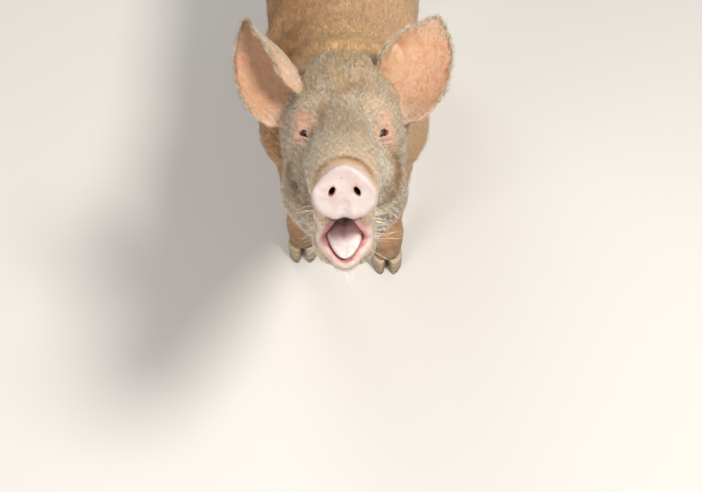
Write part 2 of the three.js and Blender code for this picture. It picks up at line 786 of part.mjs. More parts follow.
function tailNode() {
  const radius = (t) => mix(TAIL.root, TAIL.tip, min(1, t * 1.15)) * (t > 0.98 ? 0.6 : 1);
  const rod = rodRings(tailCurve(), radius, 32, 8);
  return largest(solid(rod).subtract(solid(torsoSkin(JOIN))));
}

// ------------------------------------------------------------------ snout disc
// A point of the disc's rim: narrow above, broad and square below, with a slight notch in its lower edge.
function discRim(turn, share) {
  const c = cos(turn);
  const s = sin(turn);
  const square = s < 0 ? 0.78 : 1;
  const wide = Math.sign(c) * abs(c) ** square * (1 - 0.24 * max(0, s));
  const x = DISC.halfWidth * wide * share;
  const notch = s < 0 ? 2.6 * Math.exp(-((x / 6) ** 2)) : 0;
  const z = (DISC.halfHeight * Math.sign(s) * abs(s) ** (s < 0 ? 0.9 : 1) + notch) * share - 1;
  return [x, z];
}

function discSkin() {
  const profile = [
    [DISC.thick, 0.945], [6.5, 0.985], [3, 1], [0.8, 0.965], [0, 0.9], [1.1, 0.72], [2.2, 0.45], [2, 0.2],
  ];
  const points = [];
  for (const [y, share] of profile) {
    for (let i = 0; i < DISC.segments; i++) {
      const [x, z] = discRim((2 * PI * i) / DISC.segments, share);
      points.push(new THREE.Vector3(x, y, z));
    }
  }
  points.push(new THREE.Vector3(0, DISC.thick, -1), new THREE.Vector3(0, 1.6, -1));
  return shell(points, profile.length, DISC.segments);
}

// A nostril: a slanted oval pit that runs from the disc into the head.
function nostril(side) {
  const pit = new THREE.CylinderGeometry(1, 0.8, NOSTRIL.deep, 16);
  pit.applyMatrix4(new THREE.Matrix4().makeScale(NOSTRIL.halfWidth, 1, NOSTRIL.halfHeight));
  pit.applyMatrix4(new THREE.Matrix4().makeRotationY(side * THREE.MathUtils.degToRad(NOSTRIL.slant)));
  pit.applyMatrix4(new THREE.Matrix4().makeRotationX(PI));
  pit.applyMatrix4(new THREE.Matrix4().makeRotationZ(side * THREE.MathUtils.degToRad(12)));
  pit.translate(side * NOSTRIL.apart, NOSTRIL.deep / 2 - 4, 0);
  return solid(facingOut(mergeVertices(stripped(pit), 1e-3)));
}

function discNode() {
  return largest(solid(discSkin()).subtract(nostril(1)).subtract(nostril(-1)));
}

// ------------------------------------------------------------------ eyes
const ball = (at, radius, wide, high) => {
  const sphere = new THREE.SphereGeometry(radius, wide, high);
  sphere.rotateX(PI / 2);
  sphere.translate(at[0], at[1], at[2]);
  return sphere;
};

const eyeAt = (side) => [side * EYE[0], EYE[1], EYE[2]];

// The lids' slit: a wedge whose edge runs from corner to corner of the eye through its middle.
function lidSlit(side) {
  const middle = new THREE.Vector3(...eyeAt(side));
  const corners = new THREE.Vector3(side * -0.28, 0.93, 0.24).normalize(); // from front to back
  const gaze = new THREE.Vector3(side * GAZE[0], GAZE[1], GAZE[2]);
  gaze.addScaledVector(corners, -gaze.dot(corners)).normalize();
  const up = new THREE.Vector3().crossVectors(corners, gaze).multiplyScalar(side).normalize();
  let wedge = solid(ball(eyeAt(side), EYE_RADIUS + 7, 16, 10));
  for (const [open, sign] of [[LIDS.upper, 1], [LIDS.lower, -1]]) {
    const a = THREE.MathUtils.degToRad(open);
    const normal = up.clone().multiplyScalar(sign * cos(a)).addScaledVector(gaze, -sin(a));
    wedge = wedge.subtract(halfSpace(middle, normal));
  }
  return wedge;
}

// ------------------------------------------------------------------ ears
// Each ear is a cupped blade in a plane of its own: p runs from root to tip, q towards its outer edge. A
// station holds p, the q of the inner and outer edge of the blade laid flat, its share of the ear's curl, and
// its thickness.
const EAR_STATIONS = [
  [-36, -8, 42, 0.5, 9],
  [-24, -22, 60, 0.8, 8.5],
  [-8, -34, 68, 1, 7.5],
  [8, -41, 70, 1, 6.5],
  [26, -41, 69, 0.95, 5.6],
  [44, -36, 64, 0.9, 5],
  [62, -28, 57, 0.85, 4.5],
  [80, -20, 49, 0.8, 4.2],
  [97, -12, 37, 0.7, 3.8],
  [111, -5, 23, 0.5, 3.3],
  [122, 2, 10, 0.3, 2.4],
];
const EAR_HALF = 6; // steps from the blade's middle line to each edge

// One row of the blade: from its middle line its surface turns forward more and more towards each edge.
function earRow([p, inner, outer, share, thick], { curlInner, curlOuter }) {
  const middle = (inner + outer) / 2;
  const step = (outer - inner) / 2 / EAR_HALF;
  const front = [];
  const back = [];
  for (const [way, curl] of [[-1, curlInner], [1, curlOuter]]) {
    const half = { front: [], back: [] };
    let q = middle;
    let height = 0;
    for (let i = 0; i <= EAR_HALF; i++) {
      const turn = THREE.MathUtils.degToRad(curl * share) * (i / EAR_HALF) ** 1.3;
      if (i > 0) {
        q += way * cos(turn) * step;
        height += sin(turn) * step;
      }
      const depth = thick * (1 - 0.5 * (i / EAR_HALF) ** 4);
      half.front.push(new THREE.Vector3(p, q, height));
      half.back.push(new THREE.Vector3(p, q + way * sin(turn) * depth, height - cos(turn) * depth));
    }
    if (way < 0) {
      front.push(...half.front.reverse());
      back.push(...half.back.reverse());
    } else {
      front.push(...half.front.slice(1));
      back.push(...half.back.slice(1));
    }
  }
  return { front, back };
}

function earBlade(ear) {
  const rows = EAR_STATIONS.map((station) => earRow(station, ear));
  const front = rows.flatMap((row) => row.front);
  const back = rows.flatMap((row) => row.back);
  return plate(front, back, rows.length, 2 * EAR_HALF + 1);
}

// A closed plate between two grids of points with the same rows and columns.
function plate(front, back, rows, columns) {
  const index = [];
  const base = front.length;
  const at = (r, c) => r * columns + c;
  const quad = (a, b, c, d) => index.push(a, b, c, a, c, d);
  for (let r = 0; r < rows - 1; r++) {
    for (let c = 0; c < columns - 1; c++) {
      quad(at(r, c), at(r + 1, c), at(r + 1, c + 1), at(r, c + 1));
      quad(base + at(r, c), base + at(r, c + 1), base + at(r + 1, c + 1), base + at(r + 1, c));
    }
    quad(at(r, 0), base + at(r, 0), base + at(r + 1, 0), at(r + 1, 0));
    const last = columns - 1;
    quad(at(r, last), at(r + 1, last), base + at(r + 1, last), base + at(r, last));
  }
  for (let c = 0; c < columns - 1; c++) {
    quad(at(0, c), at(0, c + 1), base + at(0, c + 1), base + at(0, c));
    quad(at(rows - 1, c), base + at(rows - 1, c), base + at(rows - 1, c + 1), at(rows - 1, c + 1));
  }
  return facingOut(geometryOf([...front, ...back], index));
}

// Where the ear's plane stands in the head's frame: its root, its axis and the way its cup opens.
function earMatrix({ root, axis, opens, twist }) {
  const p = new THREE.Vector3(...axis).normalize();
  const n = new THREE.Vector3(...opens);
  n.addScaledVector(p, -n.dot(p)).normalize();
  n.applyAxisAngle(p, THREE.MathUtils.degToRad(twist));
  const q = new THREE.Vector3().crossVectors(p, n);
  return new THREE.Matrix4().makeBasis(p, q, n).setPosition(...root);
}

function earNode(name) {
  const ear = EARS[name];
  const blade = earBlade(ear);
  blade.applyMatrix4(earMatrix(ear));
  return mirroredTo(ear.side, largest(solid(facingOut(blade)).subtract(solid(headSkin(JOIN)))));
}

// ------------------------------------------------------------------ tongue
function tongueSkin(swell) {
  const groove = limb([0, 104, -34], [0, 52, -64], 5, 3);
  const flesh = blend(
    8,
    limb(TONGUE.root, TONGUE.middle, 8, 8.6, 2.3),
    limb(TONGUE.middle, TONGUE.tip, 8.6, 4.6, 2.3),
  );
  const field = (x, y, z) => smoothMax(flesh(x, y, z), -groove(x, y, z), 5);
  const stops = [TONGUE.root, TONGUE.middle, TONGUE.tip].map((p) => new THREE.Vector3(...p));
  const line = new THREE.CatmullRomCurve3(stops, false, "centripetal");
  const rings = [];
  for (let i = 0; i <= 8; i++) {
    rings.push({ centre: line.getPointAt(i / 8), along: line.getTangentAt(i / 8) });
  }
  for (const lean of [25, 50, 72]) rings.push({ ...rings[8], lean });
  return skin({ field, rings, segments: 20, reach: 60, swell });
}

// ------------------------------------------------------------------ the model
addNode(pig, "torso", torso(), MATERIALS.skin);
addNode(pig, "neck", neckNode(), MATERIALS.skin);
addNode(pig, "tail", tailNode(), MATERIALS.skin);
for (const name of Object.keys(LEGS)) {
  addNode(pig, name, legNode(name), MATERIALS.skin);
  const foot = name.replace("leg", "");
  addNode(pig, `claw_${foot}_outer`, clawNode(name, 1), MATERIALS.claw);
  addNode(pig, `claw_${foot}_inner`, clawNode(name, -1), MATERIALS.claw);
  addNode(pig, `dewclaw_${foot}_outer`, dewclawNode(name, 1), MATERIALS.claw);
  addNode(pig, `dewclaw_${foot}_inner`, dewclawNode(name, -1), MATERIALS.claw);
}
addNode(headNodes, "head", headNode(), MATERIALS.skin);
addNode(headNodes, "lower_jaw", jawNode(), MATERIALS.skin);
addNode(headNodes, "snout_disc", discNode(), MATERIALS.snout);
addNode(headNodes, "tongue", tongueSkin(0), MATERIALS.mouth);
for (const name of Object.keys(EARS)) addNode(headNodes, name, earNode(name), MATERIALS.ear);
for (const [name, side] of [["eye_left", 1], ["eye_right", -1]]) {
  addNode(headNodes, name, mergeVertices(stripped(ball(eyeAt(side), EYE_RADIUS, 16, 10))), MATERIALS.eye);
}
pig.add(headNodes);

// The origin is the middle of the floor the pig's bounding box stands on.
const bounds = new THREE.Box3().setFromObject(pig, true);
const middle = bounds.getCenter(new THREE.Vector3());
const centred = new THREE.Group();
pig.position.set(-middle.x, -middle.y, -bounds.min.z);
centred.add(pig);

export default centred;
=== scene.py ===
# A young white pig, life size, that stands on four feet with its head raised and its mouth open.
# Metres, +Z up. The pig faces -Y, its left side is +X, and the floor is z = 0.

import math

import bmesh
import bpy
import numpy as np
from mathutils import Matrix, Vector
from mathutils.bvhtree import BVHTree
from mathutils.kdtree import KDTree


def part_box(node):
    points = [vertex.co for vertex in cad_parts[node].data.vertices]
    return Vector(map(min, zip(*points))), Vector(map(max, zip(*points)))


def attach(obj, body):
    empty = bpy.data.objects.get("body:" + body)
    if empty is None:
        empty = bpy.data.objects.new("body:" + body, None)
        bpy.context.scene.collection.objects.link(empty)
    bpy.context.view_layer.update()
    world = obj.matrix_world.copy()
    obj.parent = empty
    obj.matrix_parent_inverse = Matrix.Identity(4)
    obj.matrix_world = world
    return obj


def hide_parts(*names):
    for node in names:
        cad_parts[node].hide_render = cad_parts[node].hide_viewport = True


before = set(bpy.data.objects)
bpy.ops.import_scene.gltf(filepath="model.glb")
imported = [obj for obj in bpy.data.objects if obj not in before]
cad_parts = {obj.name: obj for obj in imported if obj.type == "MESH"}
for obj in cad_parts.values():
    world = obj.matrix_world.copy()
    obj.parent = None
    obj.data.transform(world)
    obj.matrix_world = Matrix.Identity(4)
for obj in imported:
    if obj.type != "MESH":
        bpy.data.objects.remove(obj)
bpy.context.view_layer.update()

bpy.ops.object.select_all(action="DESELECT")

# ------------------------------------------------------------------ the head's own frame
# The head is raised, so its measures are kept in a frame of its own: the origin is the middle of the
# snout's flat front, +Y runs back into the head and +Z out of the brow.
HEAD_RAISE = math.radians(50)
DISC_MIDDLE = Vector((0, 0.0055, -0.001))  # the middle of the disc's flesh in that frame

disc_low, disc_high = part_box("snout_disc")
HEAD_TURN = Matrix.Rotation(-HEAD_RAISE, 4, "X")
SNOUT = (disc_low + disc_high) / 2 - HEAD_TURN @ DISC_MIDDLE
HEAD = Matrix.Translation(SNOUT) @ HEAD_TURN
HEAD_BACK = (HEAD_TURN @ Vector((0, 1, 0))).normalized()

# ------------------------------------------------------------------ camera
# It looks steeply down at the raised face from about a metre away.
VIEW_WIDTH = 702
FOCAL = 1000  # in pixels of that view
CAMERA_DISTANCE = 1.05
CAMERA_ABOVE = math.radians(53)
DISC_OFF_CENTRE = (-6, 55)  # pixels by which the disc's middle lies right of and above the view's
SENSOR = 36


def placed(name, data):
    """A new object in the scene that holds the given data."""
    made = bpy.data.objects.new(name, data)
    bpy.context.scene.collection.objects.link(made)
    return made


camera_data = bpy.data.cameras.new("camera")
camera_data.sensor_width = SENSOR
camera_data.lens = FOCAL / VIEW_WIDTH * SENSOR
camera = placed("camera", camera_data)
camera.location = SNOUT + CAMERA_DISTANCE * Vector((0, -math.cos(CAMERA_ABOVE), math.sin(CAMERA_ABOVE)))
tilt = math.atan(DISC_OFF_CENTRE[1] / FOCAL)
pitch = -(CAMERA_ABOVE + tilt)
yaw = math.atan(-DISC_OFF_CENTRE[0] / FOCAL / math.cos(tilt))
aim = Vector((math.sin(yaw), math.cos(yaw) * math.cos(pitch), math.sin(pitch)))
camera.rotation_euler = aim.to_track_quat("-Z", "Y").to_euler()
bpy.context.scene.camera = camera

# ------------------------------------------------------------------ floor and light
# A plain pale studio floor under a large key light from above and the pig's left, a wide fill from the
# other side, and an even sky.
FLOOR_SIZE = 14
FLOOR_COLOUR = (0.66, 0.64, 0.61, 1)
SKY_STRENGTH = 0.34


def area_light(name, at, towards, size, watts, colour):
    data = bpy.data.lights.new(name, "AREA")
    data.shape = "DISK"
    data.size = size
    data.energy = watts
    data.color = colour
    lamp = placed(name, data)
    lamp.location = at
    lamp.rotation_euler = (Vector(towards) - Vector(at)).to_track_quat("-Z", "Y").to_euler()
    return lamp


def new_finish(name):
    """A new material, with its node tree and its shader."""
    finish = bpy.data.materials.new(name)
    finish.use_nodes = True
    return finish, finish.node_tree, finish.node_tree.nodes["Principled BSDF"]


area_light("key", (1.2, -0.9, 2.8), (0, -0.3, 0.5), 0.7, 88, (1.0, 0.96, 0.90))
fill = area_light("fill", (-1.6, -2.1, 1.5), (0, -0.3, 0.6), 1.8, 42, (1.0, 0.98, 0.97))
rim = area_light("rim", (-0.9, 2.4, 2.2), (0, 0, 0.5), 1.4, 30, (1.0, 0.98, 0.94))
fill.visible_glossy = False  # only the key light shines back from the wet eyes
rim.visible_glossy = False

sky = bpy.data.worlds.new("studio")
sky.use_nodes = True
background = sky.node_tree.nodes["Background"]
background.inputs["Color"].default_value = (0.86, 0.88, 0.9, 1)
background.inputs["Strength"].default_value = SKY_STRENGTH
bpy.context.scene.world = sky
bpy.context.scene.view_settings.view_transform = "Standard"

bpy.ops.mesh.primitive_plane_add(size=FLOOR_SIZE)
floor = bpy.context.object
floor.name = "floor"
bpy.ops.object.mode_set(mode="EDIT")
bpy.ops.mesh.subdivide(number_cuts=3)
bpy.ops.object.mode_set(mode="OBJECT")
floor_paint, _, shader = new_finish("studio_floor")
shader.inputs["Base Color"].default_value = FLOOR_COLOUR
shader.inputs["Roughness"].default_value = 0.85
floor.data.materials.append(floor_paint)

# ------------------------------------------------------------------ skin: its shape
# One hide covers the trunk, neck, head, jaw, snout, ears, legs and tail. It starts from the solids of the
# flesh, run together with a ball of flesh over each eye, and lies inside them by the depth of the flat
# coat.
FLESH = [
    "torso", "neck", "tail", "head", "lower_jaw", "snout_disc", "ear_left", "ear_right",
    "foreleg_left", "foreleg_right", "hindleg_left", "hindleg_right",
]
OVERLAP = 0.0006  # each solid swells this much, to close the thin gap to its neighbour
COAT_DEPTH = 0.0010
GRAIN = 0.0021  # edge length of the first surface
TRUNK_TRIANGLES = 118000

EYE = Vector((0.0375, 0.151, 0.058))  # the left eye's middle, in the head's frame
EYE_RADIUS = 0.012
LID_THICK = 0.0036
NOSTRIL = Vector((0.0134, 0, -0.0012))
DISC_TAPER = 0.14  # how much narrower the disc is at its top than across its middle
NOSTRIL_PLUG = 0.0066  # radius of the balls that close the solid's nostrils, until they are cut again
PLUG_DEPTHS = (0.009, 0.015, 0.021, 0.027, 0.033)
EAR_FOOT = Vector((0.062, 0.185, 0.088))
HEAD_END = (0.19, 0.27)  # how far behind the snout the head's skin gives way to the trunk's
DISC_END = (0.010, 0.020)  # and the disc's to the head's
DISC_RIM = (0.019, 0.026)  # how far from the disc's middle its rounded rim begins
EAR_FOOT_REACH = (0.018, 0.034)
TRUNK_ROUNDS, HEAD_ROUNDS, RIM_ROUNDS, EAR_ROUNDS = 34, 7, 9, 14  # of smoothing


def both_sides(point):
    return [Vector(point), Vector((-point[0], point[1], point[2]))]


def choose(piece):
    """Makes the piece the active one and the only one selected."""
    bpy.ops.object.select_all(action="DESELECT")
    bpy.context.view_layer.objects.active = piece
    piece.select_set(True)


def shade_smooth(piece):
    choose(piece)
    bpy.ops.object.shade_smooth()


def finish_modifiers(piece):
    choose(piece)
    for modifier in list(piece.modifiers):
        bpy.ops.object.modifier_apply(modifier=modifier.name)


def as_piece(work, name):
    """The object that a worked mesh becomes."""
    mesh = bpy.data.meshes.new(name)
    work.to_mesh(mesh)
    work.free()
    return placed(name, mesh)


def copied_solid(name, nodes, swell, balls=()):
    """One object from copies of the named nodes, each made whole and swollen, with balls of flesh added."""
    whole = bmesh.new()
    for node in nodes:
        whole.from_mesh(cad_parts[node].data)
    bmesh.ops.remove_doubles(whole, verts=whole.verts, dist=1e-6)
    whole.normal_update()
    for vertex in whole.verts:
        vertex.co += vertex.normal * swell
    for centre, radius in balls:
        at = Matrix.Translation(centre)
        bmesh.ops.create_icosphere(whole, subdivisions=4, radius=radius, matrix=at)
    return as_piece(whole, name)


def run_together(piece, grain):
    remesh = piece.modifiers.new("run_together", "REMESH")
    remesh.mode = "VOXEL"
    remesh.voxel_size = grain
    finish_modifiers(piece)


def numbers_of(items, what, width, kind=np.float32):
    """One row of numbers for each of a mesh's items."""
    flat = np.empty(len(items) * width, dtype=kind)
    items.foreach_get(what, flat)
    return flat.reshape(-1, width)


def points_of(mesh):
    return numbers_of(mesh.vertices, "co", 3).astype(np.float64)


def set_points(mesh, points):
    mesh.vertices.foreach_set("co", points.astype(np.float32).ravel())
    mesh.update()


def normals_of(mesh):
    return numbers_of(mesh.vertex_normals, "vector", 3).astype(np.float64)


def edges_of(mesh):
    return numbers_of(mesh.edges, "vertices", 2, np.int32)


def relax(points, edges, share, rounds):
    """Moves each row of values, such as points, towards the mean of its neighbours, by its share."""
    count = len(points)
    a, b = edges[:, 0], edges[:, 1]
    valence = np.maximum(np.bincount(a, minlength=count) + np.bincount(b, minlength=count), 1)
    for _ in range(rounds):
        for axis in range(points.shape[1]):
            value = points[:, axis]
            total = np.bincount(a, value[b], count) + np.bincount(b, value[a], count)
            points[:, axis] = value + share * (total / valence - value)
    return points


def in_head(points):
    """Points in the head's own frame."""
    into = np.array(HEAD.inverted())
    return points @ into[:3, :3].T + into[:3, 3]


def smooth_step(low, high, value):
    t = np.clip((value - low) / (high - low), 0, 1)
    return t * t * (3 - 2 * t)


eyes = [HEAD @ at for at in both_sides(EYE)]
plugs = [HEAD @ (at + Vector((0, y, 0))) for at in both_sides(NOSTRIL) for y in PLUG_DEPTHS]
balls = [(at, EYE_RADIUS + LID_THICK) for at in eyes] + [(at, NOSTRIL_PLUG) for at in plugs]
skin = copied_solid("skin", FLESH, OVERLAP, balls)
run_together(skin, GRAIN)

points = points_of(skin.data)
edges = edges_of(skin.data)
from_snout = in_head(points)
on_head = 1 - smooth_step(*HEAD_END, from_snout[:, 1])
on_disc = 1 - smooth_step(*DISC_END, from_snout[:, 1])
relax(points, edges, 0.5 * (1 - on_head), TRUNK_ROUNDS)
relax(points, edges, 0.5 * on_head * (1 - 0.5 * on_disc), HEAD_ROUNDS)
from_middle = np.linalg.norm(from_snout[:, (0, 2)], axis=1)
disc_rim = smooth_step(*DISC_RIM, from_middle) * (1 - smooth_step(0.016, 0.024, from_snout[:, 1]))
relax(points, edges, 0.5 * disc_rim, RIM_ROUNDS)
for at in both_sides(EAR_FOOT):
    off = np.linalg.norm(from_snout - np.array(at), axis=1)
    relax(points, edges, 0.5 * (1 - smooth_step(*EAR_FOOT_REACH, off)), EAR_ROUNDS)
narrow = smooth_step(-0.006, 0.030, from_snout[:, 2]) * (1 - smooth_step(0.018, 0.050, from_snout[:, 1]))
points[:, 0] *= 1 - DISC_TAPER * narrow
set_points(skin.data, points)
points -= normals_of(skin.data) * (COAT_DEPTH * (1 - on_disc))[:, None]
set_points(skin.data, points)

# ------------------------------------------------------------------ skin: folds of the body
# Loose skin gathers where the raised head folds the nape, behind the elbow and before the stifle, and fine
# wrinkles cross the knees and pasterns. Each is a soft groove pressed along a line laid on the hide. Teats
# stand in two rows.
BODY_FOLDS = [  # line, width, depth; on both sides
    ([(0, -0.262, 0.70), (0.05, -0.262, 0.67), (0.085, -0.275, 0.62), (0.092, -0.300, 0.56)], 0.011, 0.0040),
    ([(0, -0.222, 0.68), (0.05, -0.222, 0.66), (0.090, -0.238, 0.60), (0.096, -0.262, 0.54)], 0.012, 0.0034),
    ([(0, -0.178, 0.67), (0.06, -0.182, 0.65), (0.100, -0.200, 0.58)], 0.014, 0.0020),
    ([(0.085, -0.135, 0.6), (0.115, -0.13, 0.52), (0.125, -0.118, 0.42), (0.12, -0.085, 0.34)],
     0.016, 0.0036),
    ([(0.12, -0.062, 0.36), (0.10, -0.060, 0.31), (0.07, -0.055, 0.27)], 0.010, 0.0034),
    ([(0.13, 0.20, 0.44), (0.13, 0.245, 0.39), (0.115, 0.275, 0.35), (0.09, 0.28, 0.30)], 0.014, 0.0042),
    ([(0.13, 0.32, 0.50), (0.135, 0.36, 0.43), (0.13, 0.42, 0.36)], 0.020, 0.0026),
    ([(0.02, 0.505, 0.56), (0.04, 0.525, 0.52), (0.045, 0.535, 0.47)], 0.010, 0.0022),
    ([(0.0001, 0.02, 0.66), (0.0001, 0.2, 0.66), (0.0001, 0.36, 0.66)], 0.020, 0.0008),
]
KNEE_LEVELS = [0.188, 0.176, 0.163, 0.151]
PASTERN_LEVELS = [0.074, 0.064, 0.055]
LEGS = ["foreleg_left", "foreleg_right", "hindleg_left", "hindleg_right"]
TEAT_ROWS = [-0.03, 0.03, 0.09, 0.15, 0.205, 0.255, 0.30]
TEAT_APART = 0.042
TEAT_RADIUS, TEAT_LENGTH = 0.0042, 0.0066
TEAT_MOUND = (0.011, 0.0022)  # the low swelling under each: radius, height
WRINKLE = (0.0028, 0.0011)  # across the knees and pasterns: width, depth
WRINKLE_TURNS = (-1.3, -0.6, 0, 0.6, 1.3)  # how far round the leg's front, in radians
HEAD_KEPT, TRUNK_STEP = 0.15, 0.085  # how strongly the trunk's triangles are merged, from the head backwards


def laid_on(tree, line, steps):
    """A line's points, spread out and set down on the nearest skin."""
    laid = []
    for a, b in zip(line[:-1], line[1:]):
        for k in range(steps):
            laid.append(tree.find_nearest(Vector(a).lerp(Vector(b), k / steps))[0])
    laid.append(tree.find_nearest(Vector(line[-1]))[0])
    return np.array([tuple(p) for p in laid])


def distance_to_line(points, line):
    nearest = np.full(len(points), np.inf)
    for a, b in zip(line[:-1], line[1:]):
        along = b - a
        t = np.clip(((points - a) @ along) / max(along @ along, 1e-12), 0, 1)
        nearest = np.minimum(nearest, np.linalg.norm(points - a - t[:, None] * along, axis=1))
    return nearest


def press_groove(points, normals, tree, line, width, depth, roll=0.4):
    """Presses a groove along a line, with a low roll of skin on both sides."""
    laid = laid_on(tree, line, 4)
    reach = 4 * width
    near = np.all((points > laid.min(0) - reach) & (points < laid.max(0) + reach), axis=1)
    x = distance_to_line(points[near], laid) / width
    ends = np.minimum(*(np.linalg.norm(points[near] - laid[end], axis=1) for end in (0, -1)))
    fade = smooth_step(0, 3 * width, ends + width)
    shift = depth * fade * (roll * np.exp(-((x - 2.1) ** 2)) - np.exp(-x * x))
    points[near] += normals[near] * shift[:, None]


def swell_at(points, normals, centre, radius, height):
    far = np.linalg.norm(points - np.array(centre), axis=1) / radius
    points += normals * (height * np.exp(-far * far))[:, None]


def leg_middle(node, z):
    """The middle of a leg at a height, from its solid's own points."""
    own = points_of(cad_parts[node].data)
    level = own[np.abs(own[:, 2] - z) < 0.016]
    return (level.min(0) + level.max(0)) / 2


def corners_of(mesh, kind="vertices"):
    """The three vertices, or loops, of each triangle."""
    mesh.calc_loop_triangles()
    return numbers_of(mesh.loop_triangles, kind, 3, np.int32)


def tree_of(piece):
    return BVHTree.FromPolygons(points_of(piece.data).tolist(), corners_of(piece.data).tolist())


normals = normals_of(skin.data)
tree = tree_of(skin)
for line, width, depth in BODY_FOLDS:
    for side in (1, -1):
        press_groove(points, normals, tree, [(side * x, y, z) for x, y, z in line], width, depth)
for node in LEGS:
    for z in PASTERN_LEVELS + (KNEE_LEVELS if "fore" in node else []):
        x, y, _ = leg_middle(node, z)
        arc = [
            (x + 0.04 * math.sin(a), y - 0.05 * math.cos(a), z + 0.004 * math.cos(a)) for a in WRINKLE_TURNS
        ]
        press_groove(points, normals, tree, arc, *WRINKLE)
for y in TEAT_ROWS:
    for side in (1, -1):
        under = tree.ray_cast(Vector((side * TEAT_APART, y, 0)), Vector((0, 0, 1)))[0]
        swell_at(points, normals, under, *TEAT_MOUND)
        swell_at(points, normals, under, TEAT_RADIUS, TEAT_LENGTH)
set_points(skin.data, points)

merging = skin.vertex_groups.new(name="trunk")
on_trunk = smooth_step(0.15, 0.30, in_head(points)[:, 1])
for step in range(11):
    members = np.flatnonzero(np.round(on_trunk * 10) == step)
    merging.add(members.tolist(), HEAD_KEPT + TRUNK_STEP * step, "REPLACE")
decimate = skin.modifiers.new("fewer", "DECIMATE")
decimate.ratio = TRUNK_TRIANGLES / (2 * len(skin.data.polygons))
decimate.vertex_group = "trunk"
finish_modifiers(skin)
skin.vertex_groups.clear()

# ------------------------------------------------------------------ skin: the face
# Fine wrinkles cross the snout and gather beside the eyes and the corners of the mouth. The lids are thick
# and swollen, with a crease above and below, and the opening between them is a slanted almond. The nostrils
# are slanted ovals.
SNOUT_FOLDS = [  # line in the head's frame, width, depth; on both sides
    ([(0, 0.0395, 0.05), (0.018, 0.041, 0.04), (0.034, 0.047, 0.014), (0.036, 0.053, -0.006)],
     0.0028, 0.0015),
    ([(0, 0.052, 0.05), (0.016, 0.053, 0.04), (0.030, 0.058, 0.02)], 0.0026, 0.0008),
    ([(0, 0.066, 0.06), (0.016, 0.067, 0.05), (0.028, 0.072, 0.03)], 0.0028, 0.0007),
    ([(0, 0.083, 0.06), (0.014, 0.083, 0.05), (0.026, 0.088, 0.035)], 0.0030, 0.0005),
    ([(0.030, 0.098, -0.046), (0.046, 0.118, -0.030), (0.058, 0.142, -0.012)], 0.0055, 0.0016),
    ([(0.036, 0.112, 0.012), (0.046, 0.124, 0.024), (0.052, 0.132, 0.040)], 0.0050, 0.0012),
    ([(0.010, 0.128, 0.075), (0.014, 0.150, 0.100), (0.018, 0.180, 0.130)], 0.0050, 0.0010),
    ([(0.022, 0.135, 0.080), (0.027, 0.120, 0.066), (0.030, 0.112, 0.052)], 0.0040, 0.0012),
    ([(0.062, 0.150, 0.040), (0.070, 0.170, 0.030), (0.074, 0.195, 0.022)], 0.0060, 0.0012),
    ([(0.040, 0.196, 0.122), (0.048, 0.188, 0.106), (0.060, 0.190, 0.090)], 0.0060, 0.0016),
]
DISC_FOLDS = [
    ([(0.0185, 0, -0.001), (0.022, 0, -0.0015), (0.027, 0, 0.001)], 0.0026, 0.0006),
    ([(0.0001, 0, -0.016), (0.0001, 0.001, -0.021), (0.0001, 0.004, -0.027)], 0.0042, 0.0008),
]
FINE_PLACES = [  # middle in the head's frame, radius, edge length
    ((0, 0.004, 0), 0.044, 0.0013),
    ((0, 0.060, -0.040), 0.070, 0.0021),
    ((0, 0.110, 0.050), 0.100, 0.0030),
    ((EYE.x, EYE.y, EYE.z), 0.027, 0.0011),
    ((-EYE.x, EYE.y, EYE.z), 0.027, 0.0011),
]
GAZE = Vector((0.75, -0.60, 0.27)).normalized()  # the way the left eye looks, in the head's frame
SLIT = Vector((0.56, 0.81, 0.08))  # from its front corner to its back one
SLIT = (SLIT - GAZE * SLIT.dot(GAZE)).normalized()
LID_UP = GAZE.cross(SLIT).normalized()
LID_UP = LID_UP if LID_UP.z > 0 else -LID_UP
LID_CREASES = [  # degrees above the slit, spread in degrees, height of the shift
    (16, 9, 0.0006), (34, 12, 0.0026), (57, 5, -0.0028), (70, 8, 0.0014),
    (-20, 7, 0.0007), (-33, 3.5, -0.0012), (-45, 7, 0.0011), (-58, 4, -0.0012),
]
OPENING = [  # the gap between the lids, along the slit and above it
    (-0.0098, -0.0040), (-0.0074, -0.0012), (-0.0048, 0.0026), (-0.0018, 0.0047), (0.0014, 0.0048),
    (0.0050, 0.0034), (0.0080, 0.0015), (0.0098, -0.0007), (0.0066, -0.0026), (0.0022, -0.0038),
    (-0.0026, -0.0043), (-0.0066, -0.0045),
]
SOCKET_GAP = 0.0004
NOSTRIL_HALF = (0.0027, 0.0047)
NOSTRIL_SLANT = math.radians(28)
NOSTRIL_DEPTH = 0.026
NOSTRIL_FLARE = 0.42  # how much wider it is at its rim
NOSTRIL_PROFILE = [  # depth, width as a share of the nostril's
    (-0.006, 2.2), (-0.0005, 1 + NOSTRIL_FLARE), (0.0012, 1.16), (0.0035, 1.0), (0.014, 0.94),
    (NOSTRIL_DEPTH, 0.8),
]
NOSTRIL_LIP = (0.0105, 0.0012)  # the swelling round each: radius, height
NOSTRIL_CLIMB = 0.25  # how fast it rises inwards
OPENING_LEVELS = (0.004, 0.012, 0.0155, 0.030)  # where the cutter's rings lie along the gaze
LID_REACH = (0.017, 0.026)  # how far from the eye's middle the creases end, and along the slit
LID_REACH_ALONG = (0.0085, 0.0165)
RIM_ROUND = 0.0022  # the reach of the rounding at a cut's rim
RIM_DEPTHS = (0.008, 0.024)  # between which, along the gaze, the lids' rim is rounded


